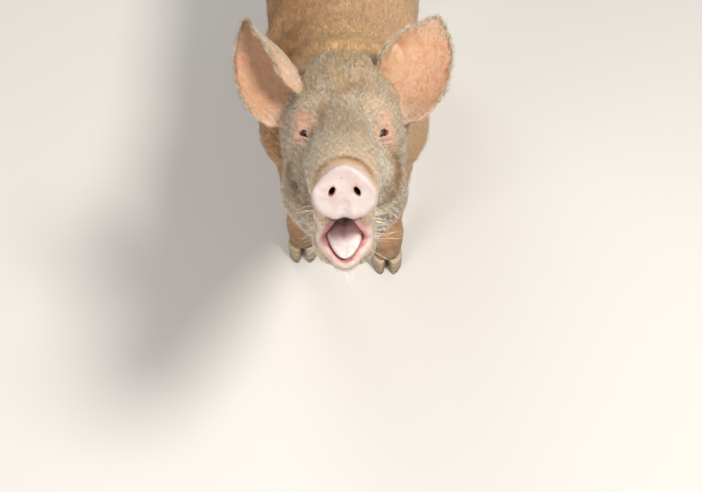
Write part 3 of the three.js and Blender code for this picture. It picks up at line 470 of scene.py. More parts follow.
def refine(piece, places):
    """Splits the long edges near the given places until none is longer than wanted there."""
    for _ in range(4):
        points = points_of(piece.data)
        edges = edges_of(piece.data)
        middle = in_head((points[edges[:, 0]] + points[edges[:, 1]]) / 2)
        length = np.linalg.norm(points[edges[:, 0]] - points[edges[:, 1]], axis=1)
        long_ones = np.zeros(len(edges), dtype=bool)
        for centre, radius, longest in places:
            near = np.linalg.norm(middle - np.array(centre), axis=1) < radius
            long_ones |= near & (length > 1.4 * longest)
        if not long_ones.any():
            return
        work = bmesh.new()
        work.from_mesh(piece.data)
        work.edges.ensure_lookup_table()
        chosen = [work.edges[k] for k in np.flatnonzero(long_ones)]
        bmesh.ops.subdivide_edges(work, edges=chosen, cuts=1, use_single_edge=True)
        bmesh.ops.triangulate(work, faces=[face for face in work.faces if len(face.verts) > 3])
        work.to_mesh(piece.data)
        work.free()


def closed_tube(name, rings):
    """A closed solid through rings of points, with flat ends."""
    work = bmesh.new()
    made = [[work.verts.new(p) for p in ring] for ring in rings]
    count = len(made[0])
    for low, high in zip(made[:-1], made[1:]):
        for k in range(count):
            work.faces.new((low[k], low[(k + 1) % count], high[(k + 1) % count], high[k]))
    work.faces.new(made[0])
    work.faces.new(made[-1])
    bmesh.ops.recalc_face_normals(work, faces=work.faces)
    return as_piece(work, name)


def cut_away(piece, tool):
    cut = piece.modifiers.new("cut", "BOOLEAN")
    cut.operation = "DIFFERENCE"
    cut.solver = "EXACT"
    cut.object = tool
    finish_modifiers(piece)
    bpy.data.objects.remove(tool)


def eye_axes(side):
    """The eye's middle and its slit, upward and gaze directions in the part's frame."""
    axes = [HEAD_TURN @ Vector((side * v.x, v.y, v.z)) for v in (SLIT, LID_UP, GAZE)]
    return HEAD @ Vector((side * EYE.x, EYE.y, EYE.z)), axes


def in_eye(points, side):
    middle, axes = eye_axes(side)
    return (points - np.array(middle)) @ np.array([tuple(a) for a in axes]).T


def above_slit(local):
    """Degrees above the slit, whose ends droop, of points in the eye's frame."""
    up = local[:, 1] + 0.12 * np.abs(local[:, 0])
    return np.degrees(np.arctan2(up, np.maximum(local[:, 2], 1e-6)))


def between(a, b, c, d, t):
    """The value at a share t of the way from b to c, on a smooth curve through all four."""
    return 0.5 * (2 * b + (c - a) * t + (2 * a - 5 * b + 4 * c - d) * t**2 + (3 * b - a - 3 * c + d) * t**3)


def around(outline, times):
    """The outline's points with more laid between them on a smooth curve."""
    count = len(outline)
    result = []
    for k in range(count):
        a, b, c, d = (np.array(outline[(k + shift) % count]) for shift in (-1, 0, 1, 2))
        for step in range(times):
            result.append(between(a, b, c, d, step / times))
    return result


def from_opening(local):
    """Distance from the rim of the lids' opening, of points in the eye's frame."""
    loop = np.array([(c, u, 0) for c, u in around(OPENING, 2)] + [(*OPENING[0], 0)])
    return distance_to_line(local * (1, 1, 0), loop)


refine(skin, FINE_PLACES)
points = points_of(skin.data)
edges = edges_of(skin.data)
head_points = in_head(points)
face = 1 - smooth_step(0.16, 0.24, head_points[:, 1])
relax(points, edges, 0.4 * face, 3)
set_points(skin.data, points)
normals = normals_of(skin.data)
tree = tree_of(skin)
for line, width, depth in SNOUT_FOLDS + DISC_FOLDS:
    for side in (1, -1):
        laid = [HEAD @ Vector((side * x, y, z)) for x, y, z in line]
        press_groove(points, normals, tree, laid, width, depth / (1 if line[0][0] else 2))
for at in both_sides(NOSTRIL):
    swell_at(points, normals, HEAD @ at, *NOSTRIL_LIP)
for side in (1, -1):
    local = in_eye(points, side)
    far = np.linalg.norm(local, axis=1)
    rise = above_slit(local)
    held = (1 - smooth_step(*LID_REACH, far)) * (1 - smooth_step(*LID_REACH_ALONG, np.abs(local[:, 0])))
    held *= smooth_step(0.000, 0.004, local[:, 2])
    shift = sum(height * np.exp(-(((rise - at) / wide) ** 2)) for at, wide, height in LID_CREASES)
    points += normals * (shift * held)[:, None]
set_points(skin.data, points)

for side in (1, -1):
    middle, (along, up, gaze) = eye_axes(side)
    outline = around(OPENING, 4)
    rings = [[middle + along * c + up * u + gaze * g for c, u in outline] for g in OPENING_LEVELS]
    cut_away(skin, closed_tube("lid_opening", rings))
    socket = EYE_RADIUS + SOCKET_GAP
    bpy.ops.mesh.primitive_uv_sphere_add(segments=48, ring_count=32, radius=socket, location=middle)
    cut_away(skin, bpy.context.object)
    rings = []
    for depth, wider in NOSTRIL_PROFILE:
        ring = []
        for k in range(32):
            turn = math.tau * k / 32
            x = NOSTRIL_HALF[0] * wider * math.cos(turn)
            z = NOSTRIL_HALF[1] * wider * math.sin(turn)
            out = NOSTRIL.x + (x * math.cos(NOSTRIL_SLANT) - z * math.sin(NOSTRIL_SLANT))
            rise = NOSTRIL.z + (z * math.cos(NOSTRIL_SLANT) + x * math.sin(NOSTRIL_SLANT))
            ring.append(HEAD @ Vector((side * out, depth, rise + NOSTRIL_CLIMB * max(depth, 0))))
        rings.append(ring)
    cut_away(skin, closed_tube("nostril_cut", rings))

work = bmesh.new()
work.from_mesh(skin.data)
bmesh.ops.remove_doubles(work, verts=work.verts, dist=0.00012)
bmesh.ops.dissolve_degenerate(work, edges=work.edges, dist=0.00005)
bmesh.ops.triangulate(work, faces=[f for f in work.faces if len(f.verts) > 3])
work.to_mesh(skin.data)
work.free()
points = points_of(skin.data)
edges = edges_of(skin.data)
rim = np.zeros(len(points))
for side in (1, -1):
    local = in_eye(points, side)
    lid = 1 - smooth_step(0.0004, RIM_ROUND, from_opening(local))
    rim = np.maximum(rim, lid * (local[:, 2] > RIM_DEPTHS[0]) * (local[:, 2] < RIM_DEPTHS[1]))
    at = np.array((side * NOSTRIL.x, 0.001, NOSTRIL.z))
    off = np.linalg.norm(in_head(points) - at, axis=1)
    rim = np.maximum(rim, 1 - smooth_step(0.009, 0.013, off))
relax(points, edges, 0.5 * rim, 3)
set_points(skin.data, points)
shade_smooth(skin)

# ------------------------------------------------------------------ skin: where each colour lies
# The hide is tan and peach where it is clean, pink where the coat is thin, whitish on the face, stained
# olive and brown by the ground and greyer near the feet. The pig's right flank and right cheek are browner
# and greyer, partly dirt and partly painted shade. Painted shade darkens the lid creases, and painted shadow
# the skin beside the white patch at the left ear's foot and, with dark hairs, under the disc. The coat is
# grown with the same shares, so that skin and hair carry the same markings, the painted shade included.
PINK_PLACES = [  # middle in the head's frame, radius, share
    ((-0.048, 0.144, 0.074), 0.014, 1.0), ((0.048, 0.146, 0.076), 0.014, 0.75),
    ((-0.050, 0.146, 0.058), 0.013, 0.8), ((0.050, 0.148, 0.058), 0.012, 0.75),
    ((-0.053, 0.147, 0.047), 0.009, 0.5), ((0.056, 0.149, 0.045), 0.009, 0.8),
    ((-0.036, 0.131, 0.070), 0.010, 0.5), ((0.040, 0.136, 0.060), 0.009, 0.6),
    ((0, 0.030, -0.030), 0.022, 0.6),
]
BROWN_LINES = [  # line in the head's frame, width, share
    ([(-0.0320, 0.018, 0.010), (-0.0281, 0.0235, 0.0205), (0.0040, 0.0250, 0.0330)], 0.0062, 1.0),
    ([(0.0040, 0.0250, 0.0330), (0.0240, 0.0240, 0.0270), (0.0340, 0.0229, 0.0150)], 0.0075, 1.0),
    ([(-0.034, 0.134, 0.066), (-0.0345, 0.131, 0.060)], 0.0050, 1.0),
    ([(0.0606, 0.149, 0.0323), (0.0636, 0.138, 0.0112), (0.0557, 0.123, -0.0034)], 0.0130, 0.85),
    ([(-0.006, 0.135, 0.108), (0.008, 0.139, 0.114), (0.020, 0.146, 0.116)], 0.0075, 0.6),
    ([(-0.020, 0.130, 0.090), (-0.024, 0.120, 0.080), (-0.023, 0.108, 0.068)], 0.0080, 0.55),
    # A brown band down the pig's right cheek: partly dirt, partly painted shade.
    ([(-0.060, 0.150, 0.020), (-0.055, 0.130, -0.010), (-0.046, 0.110, -0.030)], 0.0180, 0.75),
    ([(0.020, 0.098, 0.060), (0.024, 0.112, 0.074)], 0.0070, 0.35),
    ([(-0.0150, 0.001, 0.0048), (-0.0112, 0.001, 0.0050), (-0.0092, 0.001, 0.0020)], 0.0016, 0.8),
    ([(0.0125, 0.001, 0.0060), (0.0092, 0.001, 0.0040), (0.0090, 0.001, -0.0005)], 0.0020, 0.9),
]
DARK_PLACES = [
    # Grey on the pig's right cheek: partly dirt, partly painted shade.
    ((-0.0555, 0.122, 0.000), 0.0130, 0.85), ((-0.050, 0.100, -0.012), 0.0200, 0.7),
    ((-0.0055, 0.1246, 0.0912), 0.0026, 0.9), ((0.0015, 0.1259, 0.0935), 0.0028, 0.9),
    # The second mark here is a painted shadow beside the white patch at the foot of the left ear.
    ((0.0037, 0.1131, 0.0805), 0.0024, 0.8), ((0.0407, 0.1771, 0.1416), 0.0090, 0.7),
    ((0.0012, 0.0976, 0.070), 0.0260, 0.40), ((-0.004, 0.120, 0.088), 0.020, 0.35),
    ((-0.0035, 0.0018, 0.0136), 0.0011, 1.0), ((-0.019, 0.0018, 0.0196), 0.0012, 0.8),
    # The first mark here darkens the skin under the disc: partly dark hairs, partly painted shadow of the
    # disc.
    ((0, 0.012, -0.030), 0.0085, 0.85), ((0.0225, 0.0662, -0.0506), 0.0020, 0.8),
]
WHITE_PLACES = [
    ((-0.0306, 0.1757, 0.1421), 0.013, 1.0), ((0.0276, 0.1845, 0.1482), 0.016, 1.0),
    ((0.044, 0.110, 0.022), 0.036, 1.0), ((-0.035, 0.095, 0.020), 0.024, 0.8),
    ((0, 0.085, 0.062), 0.024, 0.5),
    ((0.045, 0.180, 0.110), 0.022, 0.6), ((-0.045, 0.180, 0.110), 0.022, 0.5),
    ((0, 0.060, -0.075), 0.040, 0.8), ((0, 0.070, 0.055), 0.030, 0.35),
]
OLIVE_PLACES = [
    ((0, 0.165, 0.130), 0.045, 0.75), ((0, 0.215, 0.160), 0.055, 0.9), ((0, 0.265, 0.175), 0.060, 0.7),
    ((-0.016, 0.144, 0.118), 0.020, 0.5), ((-0.052, 0.136, 0.030), 0.020, 0.45),
    ((0.004, 0.110, 0.078), 0.030, 0.3),
]
MOUTH_LINE = ((0, 0.055, -0.056), (0, 0.150, -0.048))  # through the middle of the open mouth
MOUTH_REACH = 0.036
LIP_BAND = (0.0030, 0.0085)  # bare, then hair begins
LIP_SOUGHT = (0.14, -0.015, 0.06)  # how far back, how low and how far aside the lips are looked for
EAR_SLICES = 16
EAR_REACH = 0.009  # how far from its solid the ear's skin still counts as ear
EAR_ROOT = Vector((0.060, 0.190, 0.110))
LINING_ROUNDS = 40  # of smoothing
HOLLOW_RADIUS = 0.0098
OCTAVES = 5  # of drift


def unit(vectors):
    return vectors / np.maximum(np.linalg.norm(vectors, axis=1), 1e-9)[:, None]


def drift(points, scale, seed):
    """A smooth pseudo-random value from -1 to 1 that wanders over about the given distance."""
    value = np.zeros(len(points))
    dice = np.random.default_rng(seed)
    for octave in range(OCTAVES):
        turn = unit(dice.normal(size=(1, 3)))[0] * (math.tau / scale) * (0.6 + 0.35 * octave)
        other = unit(dice.normal(size=(1, 3)))[0] * (math.tau / scale) * (0.5 + 0.3 * octave)
        start = points @ turn + dice.uniform(0, 6)
        value += np.sin(start + 1.7 * np.sin(points @ other + dice.uniform(0, 6)))
    return value / 3.2


def strongest(points, marks, distance):
    """The strongest of the marks at each point. Each mark fades with the distance from it."""
    share = np.zeros(len(points))
    for mark, reach, strength in marks:
        far = distance(points, np.array(mark)) / reach
        share = np.maximum(share, strength * np.exp(-(far**2)))
    return share


def spots(points, places):
    return strongest(points, places, lambda points, centre: np.linalg.norm(points - centre, axis=1))


def stripes(points, lines):
    return strongest(points, lines, distance_to_line)


def near_nodes(points, nodes, reach):
    """1 on the named solids, fading to 0 at the reach from them."""
    solid = copied_solid("measure", nodes, 0)
    near_tree = tree_of(solid)
    bpy.data.objects.remove(solid)
    far = np.full(len(points), 1.0)
    low = np.min([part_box(n)[0] for n in nodes], axis=0) - reach
    high = np.max([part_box(n)[1] for n in nodes], axis=0) + reach
    for k in np.flatnonzero(np.all((points > low) & (points < high), axis=1)):
        far[k] = near_tree.find_nearest(Vector(points[k]))[3]
    return 1 - smooth_step(0.35 * reach, reach, far)


def ear_shares(points, normals, node, side):
    """Each point's share in an ear and in its lining, its place from root to tip, and the ear's axis."""
    on_ear = near_nodes(points, [node], EAR_REACH)
    spread = on_ear[:, None].copy()
    relax(spread, edges_of(skin.data), 0.5, 36)
    on_ear = np.maximum(on_ear, smooth_step(0.12, 0.5, spread[:, 0]))
    own = points_of(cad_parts[node].data)
    root = np.array(HEAD @ Vector((side * EAR_ROOT.x, EAR_ROOT.y, EAR_ROOT.z)))
    tip = own[np.argmax(np.linalg.norm(own - root, axis=1))]
    long = np.linalg.norm(tip - root)
    axis = (tip - root) / long
    along = (points - root) @ axis / long
    slices = np.clip((along * EAR_SLICES).astype(int), 0, EAR_SLICES - 1)
    own_slices = np.clip(((own - root) @ axis / long * EAR_SLICES).astype(int), 0, EAR_SLICES - 1)
    members = [own[own_slices == k] for k in range(EAR_SLICES)]
    middles = np.array([rows.mean(0) if len(rows) else tip for rows in members])
    inward = middles[slices] - points
    inward -= (inward @ axis)[:, None] * axis
    lining = on_ear * smooth_step(-0.10, 0.35, np.einsum("ij,ij->i", unit(inward), normals))
    return on_ear, lining * smooth_step(-0.05, 0.12, along), np.clip(along, 0, 1), axis


def mouth_facing(head_points, head_normals):
    """How squarely the skin near the open mouth faces its middle line, and -1 elsewhere."""
    front, back = (np.array(p) for p in MOUTH_LINE)
    t = np.clip((head_points - front) @ (back - front) / ((back - front) @ (back - front)), 0, 1)
    inward = front + t[:, None] * (back - front) - head_points
    near = np.linalg.norm(inward, axis=1) < MOUTH_REACH
    facing = np.einsum("ij,ij->i", unit(inward), head_normals)
    return np.where(near, facing, -1)


points = points_of(skin.data)
normals = normals_of(skin.data)
head_points = in_head(points)
head_normals = normals @ np.array(HEAD_TURN)[:3, :3]
aside, behind, above = np.abs(head_points[:, 0]), head_points[:, 1], head_points[:, 2]
on_head = 1 - smooth_step(0.20, 0.30, behind)
facing = mouth_facing(head_points, head_normals)
mouth = smooth_step(0.05, 0.35, facing) * smooth_step(0.024, 0.034, behind)
mouth_rim = np.flatnonzero(np.abs(facing - 0.1) < 0.16)
rim_tree = KDTree(len(mouth_rim))
for k in mouth_rim:
    rim_tree.insert(points[k], int(k))
rim_tree.balance()
from_lip = np.full(len(points), 1.0)
for k in np.flatnonzero((behind < LIP_SOUGHT[0]) & (above < LIP_SOUGHT[1]) & (aside < LIP_SOUGHT[2])):
    from_lip[k] = rim_tree.find(points[k])[2]
lips = (1 - smooth_step(*LIP_BAND, from_lip)) * smooth_step(0.020, 0.034, behind)
hollow = np.zeros(len(points))
for side in (1, -1):
    off = (head_points - np.array((side * NOSTRIL.x, 0, NOSTRIL.z)))[:, (0, 2)]
    deep = smooth_step(0.0006, 0.0060, behind) * (np.linalg.norm(off, axis=1) < HOLLOW_RADIUS)
    hollow = np.maximum(hollow, deep * (behind < 0.03) * (head_normals[:, 1] < 0.6))
disc = 1 - smooth_step(0.0105, 0.0160, behind)
on_ear_left, lining_left, along_left, axis_left = ear_shares(points, normals, "ear_left", 1)
on_ear_right, lining_right, along_right, axis_right = ear_shares(points, normals, "ear_right", -1)
on_ear = np.maximum(on_ear_left, on_ear_right)
lining = np.maximum(lining_left, lining_right)[:, None]
near_root = 1 - smooth_step(0.30, 0.50, np.where(points[:, 0] > 0, along_left, along_right))
relax(lining, edges_of(skin.data), 0.5 * on_ear * (0.15 + 0.85 * near_root), LINING_ROUNDS)
lining = lining[:, 0]
lid_rim = np.zeros(len(points))
lid_crease_shade = np.zeros(len(points))
for side in (1, -1):
    local = in_eye(points, side)
    far = np.linalg.norm(local, axis=1)
    inside = (far < 0.0150) & (local[:, 2] > 0)
    wet = 1 - smooth_step(0.0008, 0.0020, from_opening(local))
    wet = wet * (local[:, 2] > 0.006) * (local[:, 2] < 0.024)
    lid_rim = np.maximum(lid_rim, np.maximum(wet, 1.0 * inside))
    rise = above_slit(local)
    # Painted shade in the crease above each upper lid and in the one below the lower lid, laid into the
    # brown share.
    shade = 0.75 * np.exp(-(((rise - 57) / 5) ** 2)) + 0.45 * np.exp(-(((rise + 33) / 4) ** 2))
    held = (far < 0.024) * (1 - smooth_step(0.010, 0.017, np.abs(local[:, 0]))) * (local[:, 2] > 0.002)
    lid_crease_shade = np.maximum(lid_crease_shade, shade * held)

low = 1 - smooth_step(0.22, 0.42, points[:, 2])
under = smooth_step(0.2, 0.8, -normals[:, 2]) * (1 - on_head)
pink = spots(head_points, PINK_PLACES)
pink = np.maximum(pink, 0.85 * under * smooth_step(0.15, 0.24, points[:, 2]))
pink = np.maximum(pink, 0.35 * on_ear)
olive = spots(head_points, OLIVE_PLACES) * np.clip(0.75 + 0.55 * drift(points, 0.030, 11), 0, 1.3)
brown = stripes(head_points, BROWN_LINES) * np.clip(0.9 + 0.35 * drift(points, 0.012, 12), 0, 1)
# The pig's right flank is browner: partly dirt, partly painted shade.
side_dirt_and_shade = smooth_step(0.00, 0.09, -points[:, 0]) * (1 - on_head)
side_dirt_and_shade *= np.clip(0.66 + 0.4 * drift(points, 0.16, 13), 0.15, 0.95)
leg_dirt = low * (1 - on_head) * np.clip(0.30 + 0.55 * drift(points, 0.09, 14), 0, 0.85)
brown = np.maximum.reduce([brown, side_dirt_and_shade, leg_dirt, lid_crease_shade])
dark = spots(head_points, DARK_PLACES)
whitish_head = 1 - smooth_step(0.10, 0.30, behind)
dark = np.maximum(dark, 0.55 * (1 - smooth_step(0.055, 0.095, points[:, 2])) * (1 - on_head))
white = np.maximum(spots(head_points, WHITE_PLACES), 0.64 * whitish_head * (1 - on_ear))
white = np.maximum(white, 0.6 * on_ear * (1 - lining))
bare = np.maximum.reduce([disc, smooth_step(0.35, 0.7, lips), mouth, lid_rim])
SHARES = {
    "marks_a": np.stack([pink, olive, brown, dark], axis=1),
    "marks_b": np.stack([white, lining, disc, np.maximum(lips, 0)], axis=1),
    "marks_c": np.stack([mouth, hollow, lid_rim, bare], axis=1),
}


def store(mesh, name, shares):
    """Four values at each vertex, for a finish to read."""
    layer = mesh.color_attributes.new(name, "FLOAT_COLOR", "POINT")
    layer.data.foreach_set("color", shares.astype(np.float32).ravel())


for name, shares in SHARES.items():
    store(skin.data, name, np.clip(shares, 0, 1))

# ------------------------------------------------------------------ skin: its finish
# Living hide: uneven tan and pink with olive freckles, pores and fine crossed wrinkles, damp and smooth on
# the disc, the lips and the lid rims and wet in the mouth.
TAN = (0.52, 0.295, 0.145, 1)
PEACH = (0.57, 0.325, 0.165, 1)
PINK = (0.78, 0.37, 0.27, 1)
EAR_PINK = (0.56, 0.31, 0.19, 1)
WHITISH = (0.58, 0.48, 0.35, 1)
OLIVE = (0.66, 0.48, 0.21, 1)
FRECKLE = (0.34, 0.25, 0.12, 1)
BROWN = (0.31, 0.150, 0.050, 1)
GREY = (0.115, 0.095, 0.080, 1)
DISC_PALE = (0.53, 0.45, 0.425, 1)
DISC_PINK = (0.48, 0.345, 0.33, 1)
LIP_PINK = (0.62, 0.46, 0.41, 1)
MOUTH_PINK = (0.66, 0.33, 0.29, 1)
NOSTRIL_DARK = (0.20, 0.060, 0.022, 1)
LID_PINK = (0.58, 0.27, 0.22, 1)
FLUSH = (0.53, 0.27, 0.14, 1)
VEIN_RED = (0.50, 0.16, 0.09, 1)
DISC_BROWN = (0.46, 0.25, 0.11, 1)
DISC_DOT = (0.55, 0.30, 0.16, 1)
MOUTH_PALE = (0.80, 0.50, 0.45, 1)
WANDER = (0.0045, 0.0045, 0.0045)  # how far the fine creases stray


def feed(tree, node, inputs):
    """Sets a node's inputs to values, or to the outputs that feed them."""
    for name, value in inputs.items():
        if isinstance(value, bpy.types.NodeSocket):
            tree.links.new(value, node.inputs[name])
        else:
            node.inputs[name].default_value = value


def put(tree, kind, inputs=None, **settings):
    """Adds a node with its settings and inputs."""
    node = tree.nodes.new(kind)
    for name, value in settings.items():
        setattr(node, name, value)
    feed(tree, node, inputs or {})
    return node


def place_in(tree):
    return put(tree, "ShaderNodeTexCoord").outputs["Object"]


def tint(tree, under, over, share, blend="MIX"):
    inputs = {0: share, 6: under, 7: over}
    return put(tree, "ShaderNodeMix", inputs, data_type="RGBA", blend_type=blend).outputs[2]


def times(tree, a, b, operation="MULTIPLY"):
    return put(tree, "ShaderNodeMath", {0: a, 1: b}, operation=operation, use_clamp=True).outputs[0]


def with_share(tree, value, share, base):
    """The base with a share of the value added."""
    return put(tree, "ShaderNodeMath", {0: value, 1: share, 2: base}, operation="MULTIPLY_ADD").outputs[0]


def ranged(tree, value, source=(0, 1), target=(0, 1)):
    """The value stretched from the source range to the target range, and held inside it."""
    low, high = source
    least, most = target
    inputs = {"Value": value, "From Min": low, "From Max": high, "To Min": least, "To Max": most}
    return put(tree, "ShaderNodeMapRange", inputs).outputs["Result"]


def speckle(tree, where, scale, low, high, detail=4.0):
    """A noise of the given scale, stretched so that low becomes 0 and high becomes 1."""
    noise = put(tree, "ShaderNodeTexNoise", {"Vector": where, "Scale": scale, "Detail": detail})
    return ranged(tree, noise.outputs["Fac"], (low, high))


def bumped(tree, height, strength, distance):
    inputs = {"Height": height, "Strength": strength, "Distance": distance}
    return put(tree, "ShaderNodeBump", inputs).outputs["Normal"]


hide_colours = bpy.data.node_groups.new("hide_colours", "ShaderNodeTree")
hide_colours.interface.new_socket("Colour", in_out="OUTPUT", socket_type="NodeSocketColor")
for name in ("Wet", "Bare", "White", "StainAndShade"):
    hide_colours.interface.new_socket(name, in_out="OUTPUT", socket_type="NodeSocketFloat")
g = hide_colours
place = place_in(g)
marks = []
for name in SHARES:
    read = put(g, "ShaderNodeAttribute", attribute_name=name)
    parts = put(g, "ShaderNodeSeparateColor", {"Color": read.outputs["Color"]})
    marks += [parts.outputs[0], parts.outputs[1], parts.outputs[2], read.outputs["Alpha"]]
m_pink, m_olive, m_brown, m_dark, m_white, m_lining, m_disc, m_lips, m_mouth, m_hollow, m_lid, m_bare = marks
clean = times(g, 1.0, m_bare, "SUBTRACT")
colour = tint(g, TAN, PEACH, speckle(g, place, 9, 0.38, 0.62))
colour = tint(g, colour, FLUSH, times(g, speckle(g, place, 34, 0.50, 0.72), 0.30))
colour = tint(g, colour, WHITISH, times(g, m_white, 0.75))
colour = tint(g, colour, PINK, times(g, m_pink, speckle(g, place, 120, 0.1, 0.55)))
colour = tint(g, colour, EAR_PINK, m_lining)
olive_here = times(g, m_olive, speckle(g, place, 160, 0.20, 0.62))
brown_here = times(g, m_brown, speckle(g, place, 110, -0.10, 0.58))
dark_here = times(g, m_dark, speckle(g, place, 220, 0.15, 0.6))
# The strongest of the olive, brown and grey marks: real stains and the painted shade among them.
stain_and_shade = times(g, times(g, olive_here, brown_here, "MAXIMUM"), dark_here, "MAXIMUM")
colour = tint(g, colour, OLIVE, olive_here)
colour = tint(g, colour, BROWN, brown_here)
colour = tint(g, colour, GREY, dark_here)
freckles = times(g, times(g, speckle(g, place, 330, 0.56, 0.66), 0.55), clean)
colour = tint(g, colour, FRECKLE, freckles)
dots = times(g, times(g, speckle(g, place, 700, 0.64, 0.70, 2.0), 0.75), clean)
colour = tint(g, colour, GREY, dots)
veins = times(g, m_lining, speckle(g, place, 85, 0.50, 0.72))
colour = tint(g, colour, VEIN_RED, times(g, veins, 0.55))
lip = tint(g, LIP_PINK, DISC_PALE, speckle(g, place, 260, 0.35, 0.65))
colour = tint(g, colour, lip, m_lips)
pale = tint(g, DISC_PALE, DISC_PINK, speckle(g, place, 60, 0.42, 0.75))
colour = tint(g, colour, pale, m_disc)
colour = tint(g, colour, DISC_BROWN, times(g, times(g, m_disc, m_brown), 0.85))
disc_dots = times(g, m_disc, speckle(g, place, 520, 0.66, 0.72, 2.0))
colour = tint(g, colour, DISC_DOT, times(g, disc_dots, 0.6))
wet_pink = tint(g, MOUTH_PINK, MOUTH_PALE, speckle(g, place, 150, 0.35, 0.7))
colour = tint(g, colour, wet_pink, m_mouth)
colour = tint(g, colour, LID_PINK, m_lid)
colour = tint(g, colour, NOSTRIL_DARK, m_hollow)
colour = tint(g, colour, GREY, times(g, times(g, m_dark, m_disc), 0.9))
wet = put(g, "ShaderNodeMath", {0: m_mouth, 1: m_lid}, operation="MAXIMUM").outputs[0]
wet = put(g, "ShaderNodeMath", {0: wet, 1: m_hollow}, operation="MAXIMUM").outputs[0]
put(g, "NodeGroupOutput", {"Colour": colour, "Wet": wet, "Bare": m_bare, "White": m_white, "StainAndShade": stain_and_shade})

hide_relief = bpy.data.node_groups.new("hide_relief", "ShaderNodeTree")
hide_relief.interface.new_socket("Height", in_out="OUTPUT", socket_type="NodeSocketFloat")
g = hide_relief
place = place_in(g)
wander = put(g, "ShaderNodeTexNoise", {"Vector": place, "Scale": 240.0, "Detail": 3.0}).outputs["Color"]
stray = {0: wander, 1: WANDER, 2: place}
warped = put(g, "ShaderNodeVectorMath", stray, operation="MULTIPLY_ADD").outputs[0]
creases = put(g, "ShaderNodeTexVoronoi", {"Vector": warped, "Scale": 620.0}, feature="DISTANCE_TO_EDGE")
cells = ranged(g, creases.outputs["Distance"], (0, 0.35))
pores = speckle(g, place, 1400, 0.3, 0.7, 2.0)
lumps = speckle(g, place, 130, 0.2, 0.8)
height = with_share(g, pores, 0.35, with_share(g, cells, 0.5, lumps))
put(g, "NodeGroupOutput", {"Height": height})

hide, t, shader = new_finish("hide")
colours = put(t, "ShaderNodeGroup", node_tree=hide_colours)
relief = put(t, "ShaderNodeGroup", node_tree=hide_relief)
dry = ranged(t, colours.outputs["Bare"], target=(0.62, 0.40))
damp = put(t, "ShaderNodeMix", {0: colours.outputs["Wet"], 2: dry, 3: 0.16}, data_type="FLOAT").outputs[0]
feed(t, shader, {
    "Base Color": colours.outputs["Colour"],
    "Roughness": damp,
    "Normal": bumped(t, relief.outputs["Height"], 0.45, 0.0007),
    "Subsurface Weight": 0.18,
    "Subsurface Radius": (1.0, 0.35, 0.2),
    "Subsurface Scale": 0.006,
})
skin.data.materials.append(hide)
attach(skin, "root")
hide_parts(*FLESH)

# ------------------------------------------------------------------ eyeballs
# Each is a wet ball behind the lids with a dark brown iris, a black pupil and a slightly raised clear
# front.
IRIS_EDGE = math.radians(43)
CORNEA_RISE = 0.0007
PUPIL_SHARE = 0.36  # of the iris's radius
PUPIL_END = PUPIL_SHARE * 0.5  # the colours run from the middle to twice the iris's edge
PUPIL_BLACK = (0.003, 0.003, 0.004, 1)
EYE_WHITE = (0.62, 0.46, 0.38, 1)
IRIS_COLOURS = [
    (PUPIL_END + 0.02, (0.026, 0.012, 0.007, 1)), (0.46, (0.045, 0.022, 0.012, 1)),
    (0.51, (0.012, 0.009, 0.008, 1)),
]
FIBRE_BROWN = (0.02, 0.01, 0.006, 1)

eye_finish, t, shader = new_finish("eye_finish")
read = put(t, "ShaderNodeAttribute", attribute_name="polar").outputs["Color"]
polar = put(t, "ShaderNodeSeparateColor", {"Color": read})
bands = put(t, "ShaderNodeValToRGB", {"Fac": polar.outputs[0]})
ramp = bands.color_ramp
ramp.elements[0].color = PUPIL_BLACK
ramp.elements[0].position = PUPIL_END
ramp.elements[1].color = EYE_WHITE
ramp.elements[1].position = 0.62
for at, colour in IRIS_COLOURS:
    ramp.elements.new(at).color = colour
fibres = times(t, speckle(t, place_in(t), 900, 0.3, 0.7, 3.0), 0.5)
feed(t, shader, {
    "Base Color": tint(t, bands.outputs["Color"], FIBRE_BROWN, fibres),
    "Roughness": 0.08,
    "Specular IOR Level": 0.35,
})

for side, name in [(1, "left"), (-1, "right")]:
    middle, (_, _, gaze) = eye_axes(side)
    bpy.ops.mesh.primitive_uv_sphere_add(segments=64, ring_count=40, radius=EYE_RADIUS)
    ball = bpy.context.object
    ball.name = "eyeball_" + name
    turn = gaze.to_track_quat("Z", "Y").to_matrix().to_4x4()
    ball.data.transform(Matrix.Translation(middle) @ turn)
    own = points_of(ball.data)
    local = own - np.array(middle)
    angle = np.arccos(np.clip(unit(local) @ np.array(gaze), -1, 1))
    rise = CORNEA_RISE * np.clip(1 - (angle / IRIS_EDGE) ** 2, 0, 1)
    set_points(ball.data, own + unit(local) * rise[:, None])
    polar = np.clip(angle / (2 * IRIS_EDGE), 0, 1)
    store(ball.data, "polar", np.stack([polar, 0 * polar, 0 * polar, 1 + 0 * polar], axis=1))
    shade_smooth(ball)
    ball.data.materials.append(eye_finish)
    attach(ball, "root")
    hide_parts("eye_" + name)

# ------------------------------------------------------------------ tongue
# A broad soft tongue that fills the lower jaw, with a shallow groove along its middle, fine ridges across
# it and small papillae, wet and greyish pink.
TONGUE_STATIONS = [  # point on its middle line in the head's frame, half width, half thickness
    ((0.150, -0.052), 0.0140, 0.0050), ((0.135, -0.049), 0.0180, 0.0065),
    ((0.118, -0.0465), 0.0220, 0.0078), ((0.104, -0.0465), 0.0225, 0.0080),
    ((0.092, -0.0500), 0.0220, 0.0078), ((0.082, -0.0550), 0.0200, 0.0072),
    ((0.073, -0.0615), 0.0172, 0.0064), ((0.066, -0.0675), 0.0138, 0.0054),
    ((0.0605, -0.0725), 0.0100, 0.0042), ((0.0570, -0.0757), 0.0060, 0.0028),
    ((0.0552, -0.0774), 0.0018, 0.0010),
]
TONGUE_RINGS = 90
TONGUE_SIDES = 48
RIDGE_STEP = 0.0026
RIDGE_HEIGHT = 0.00045
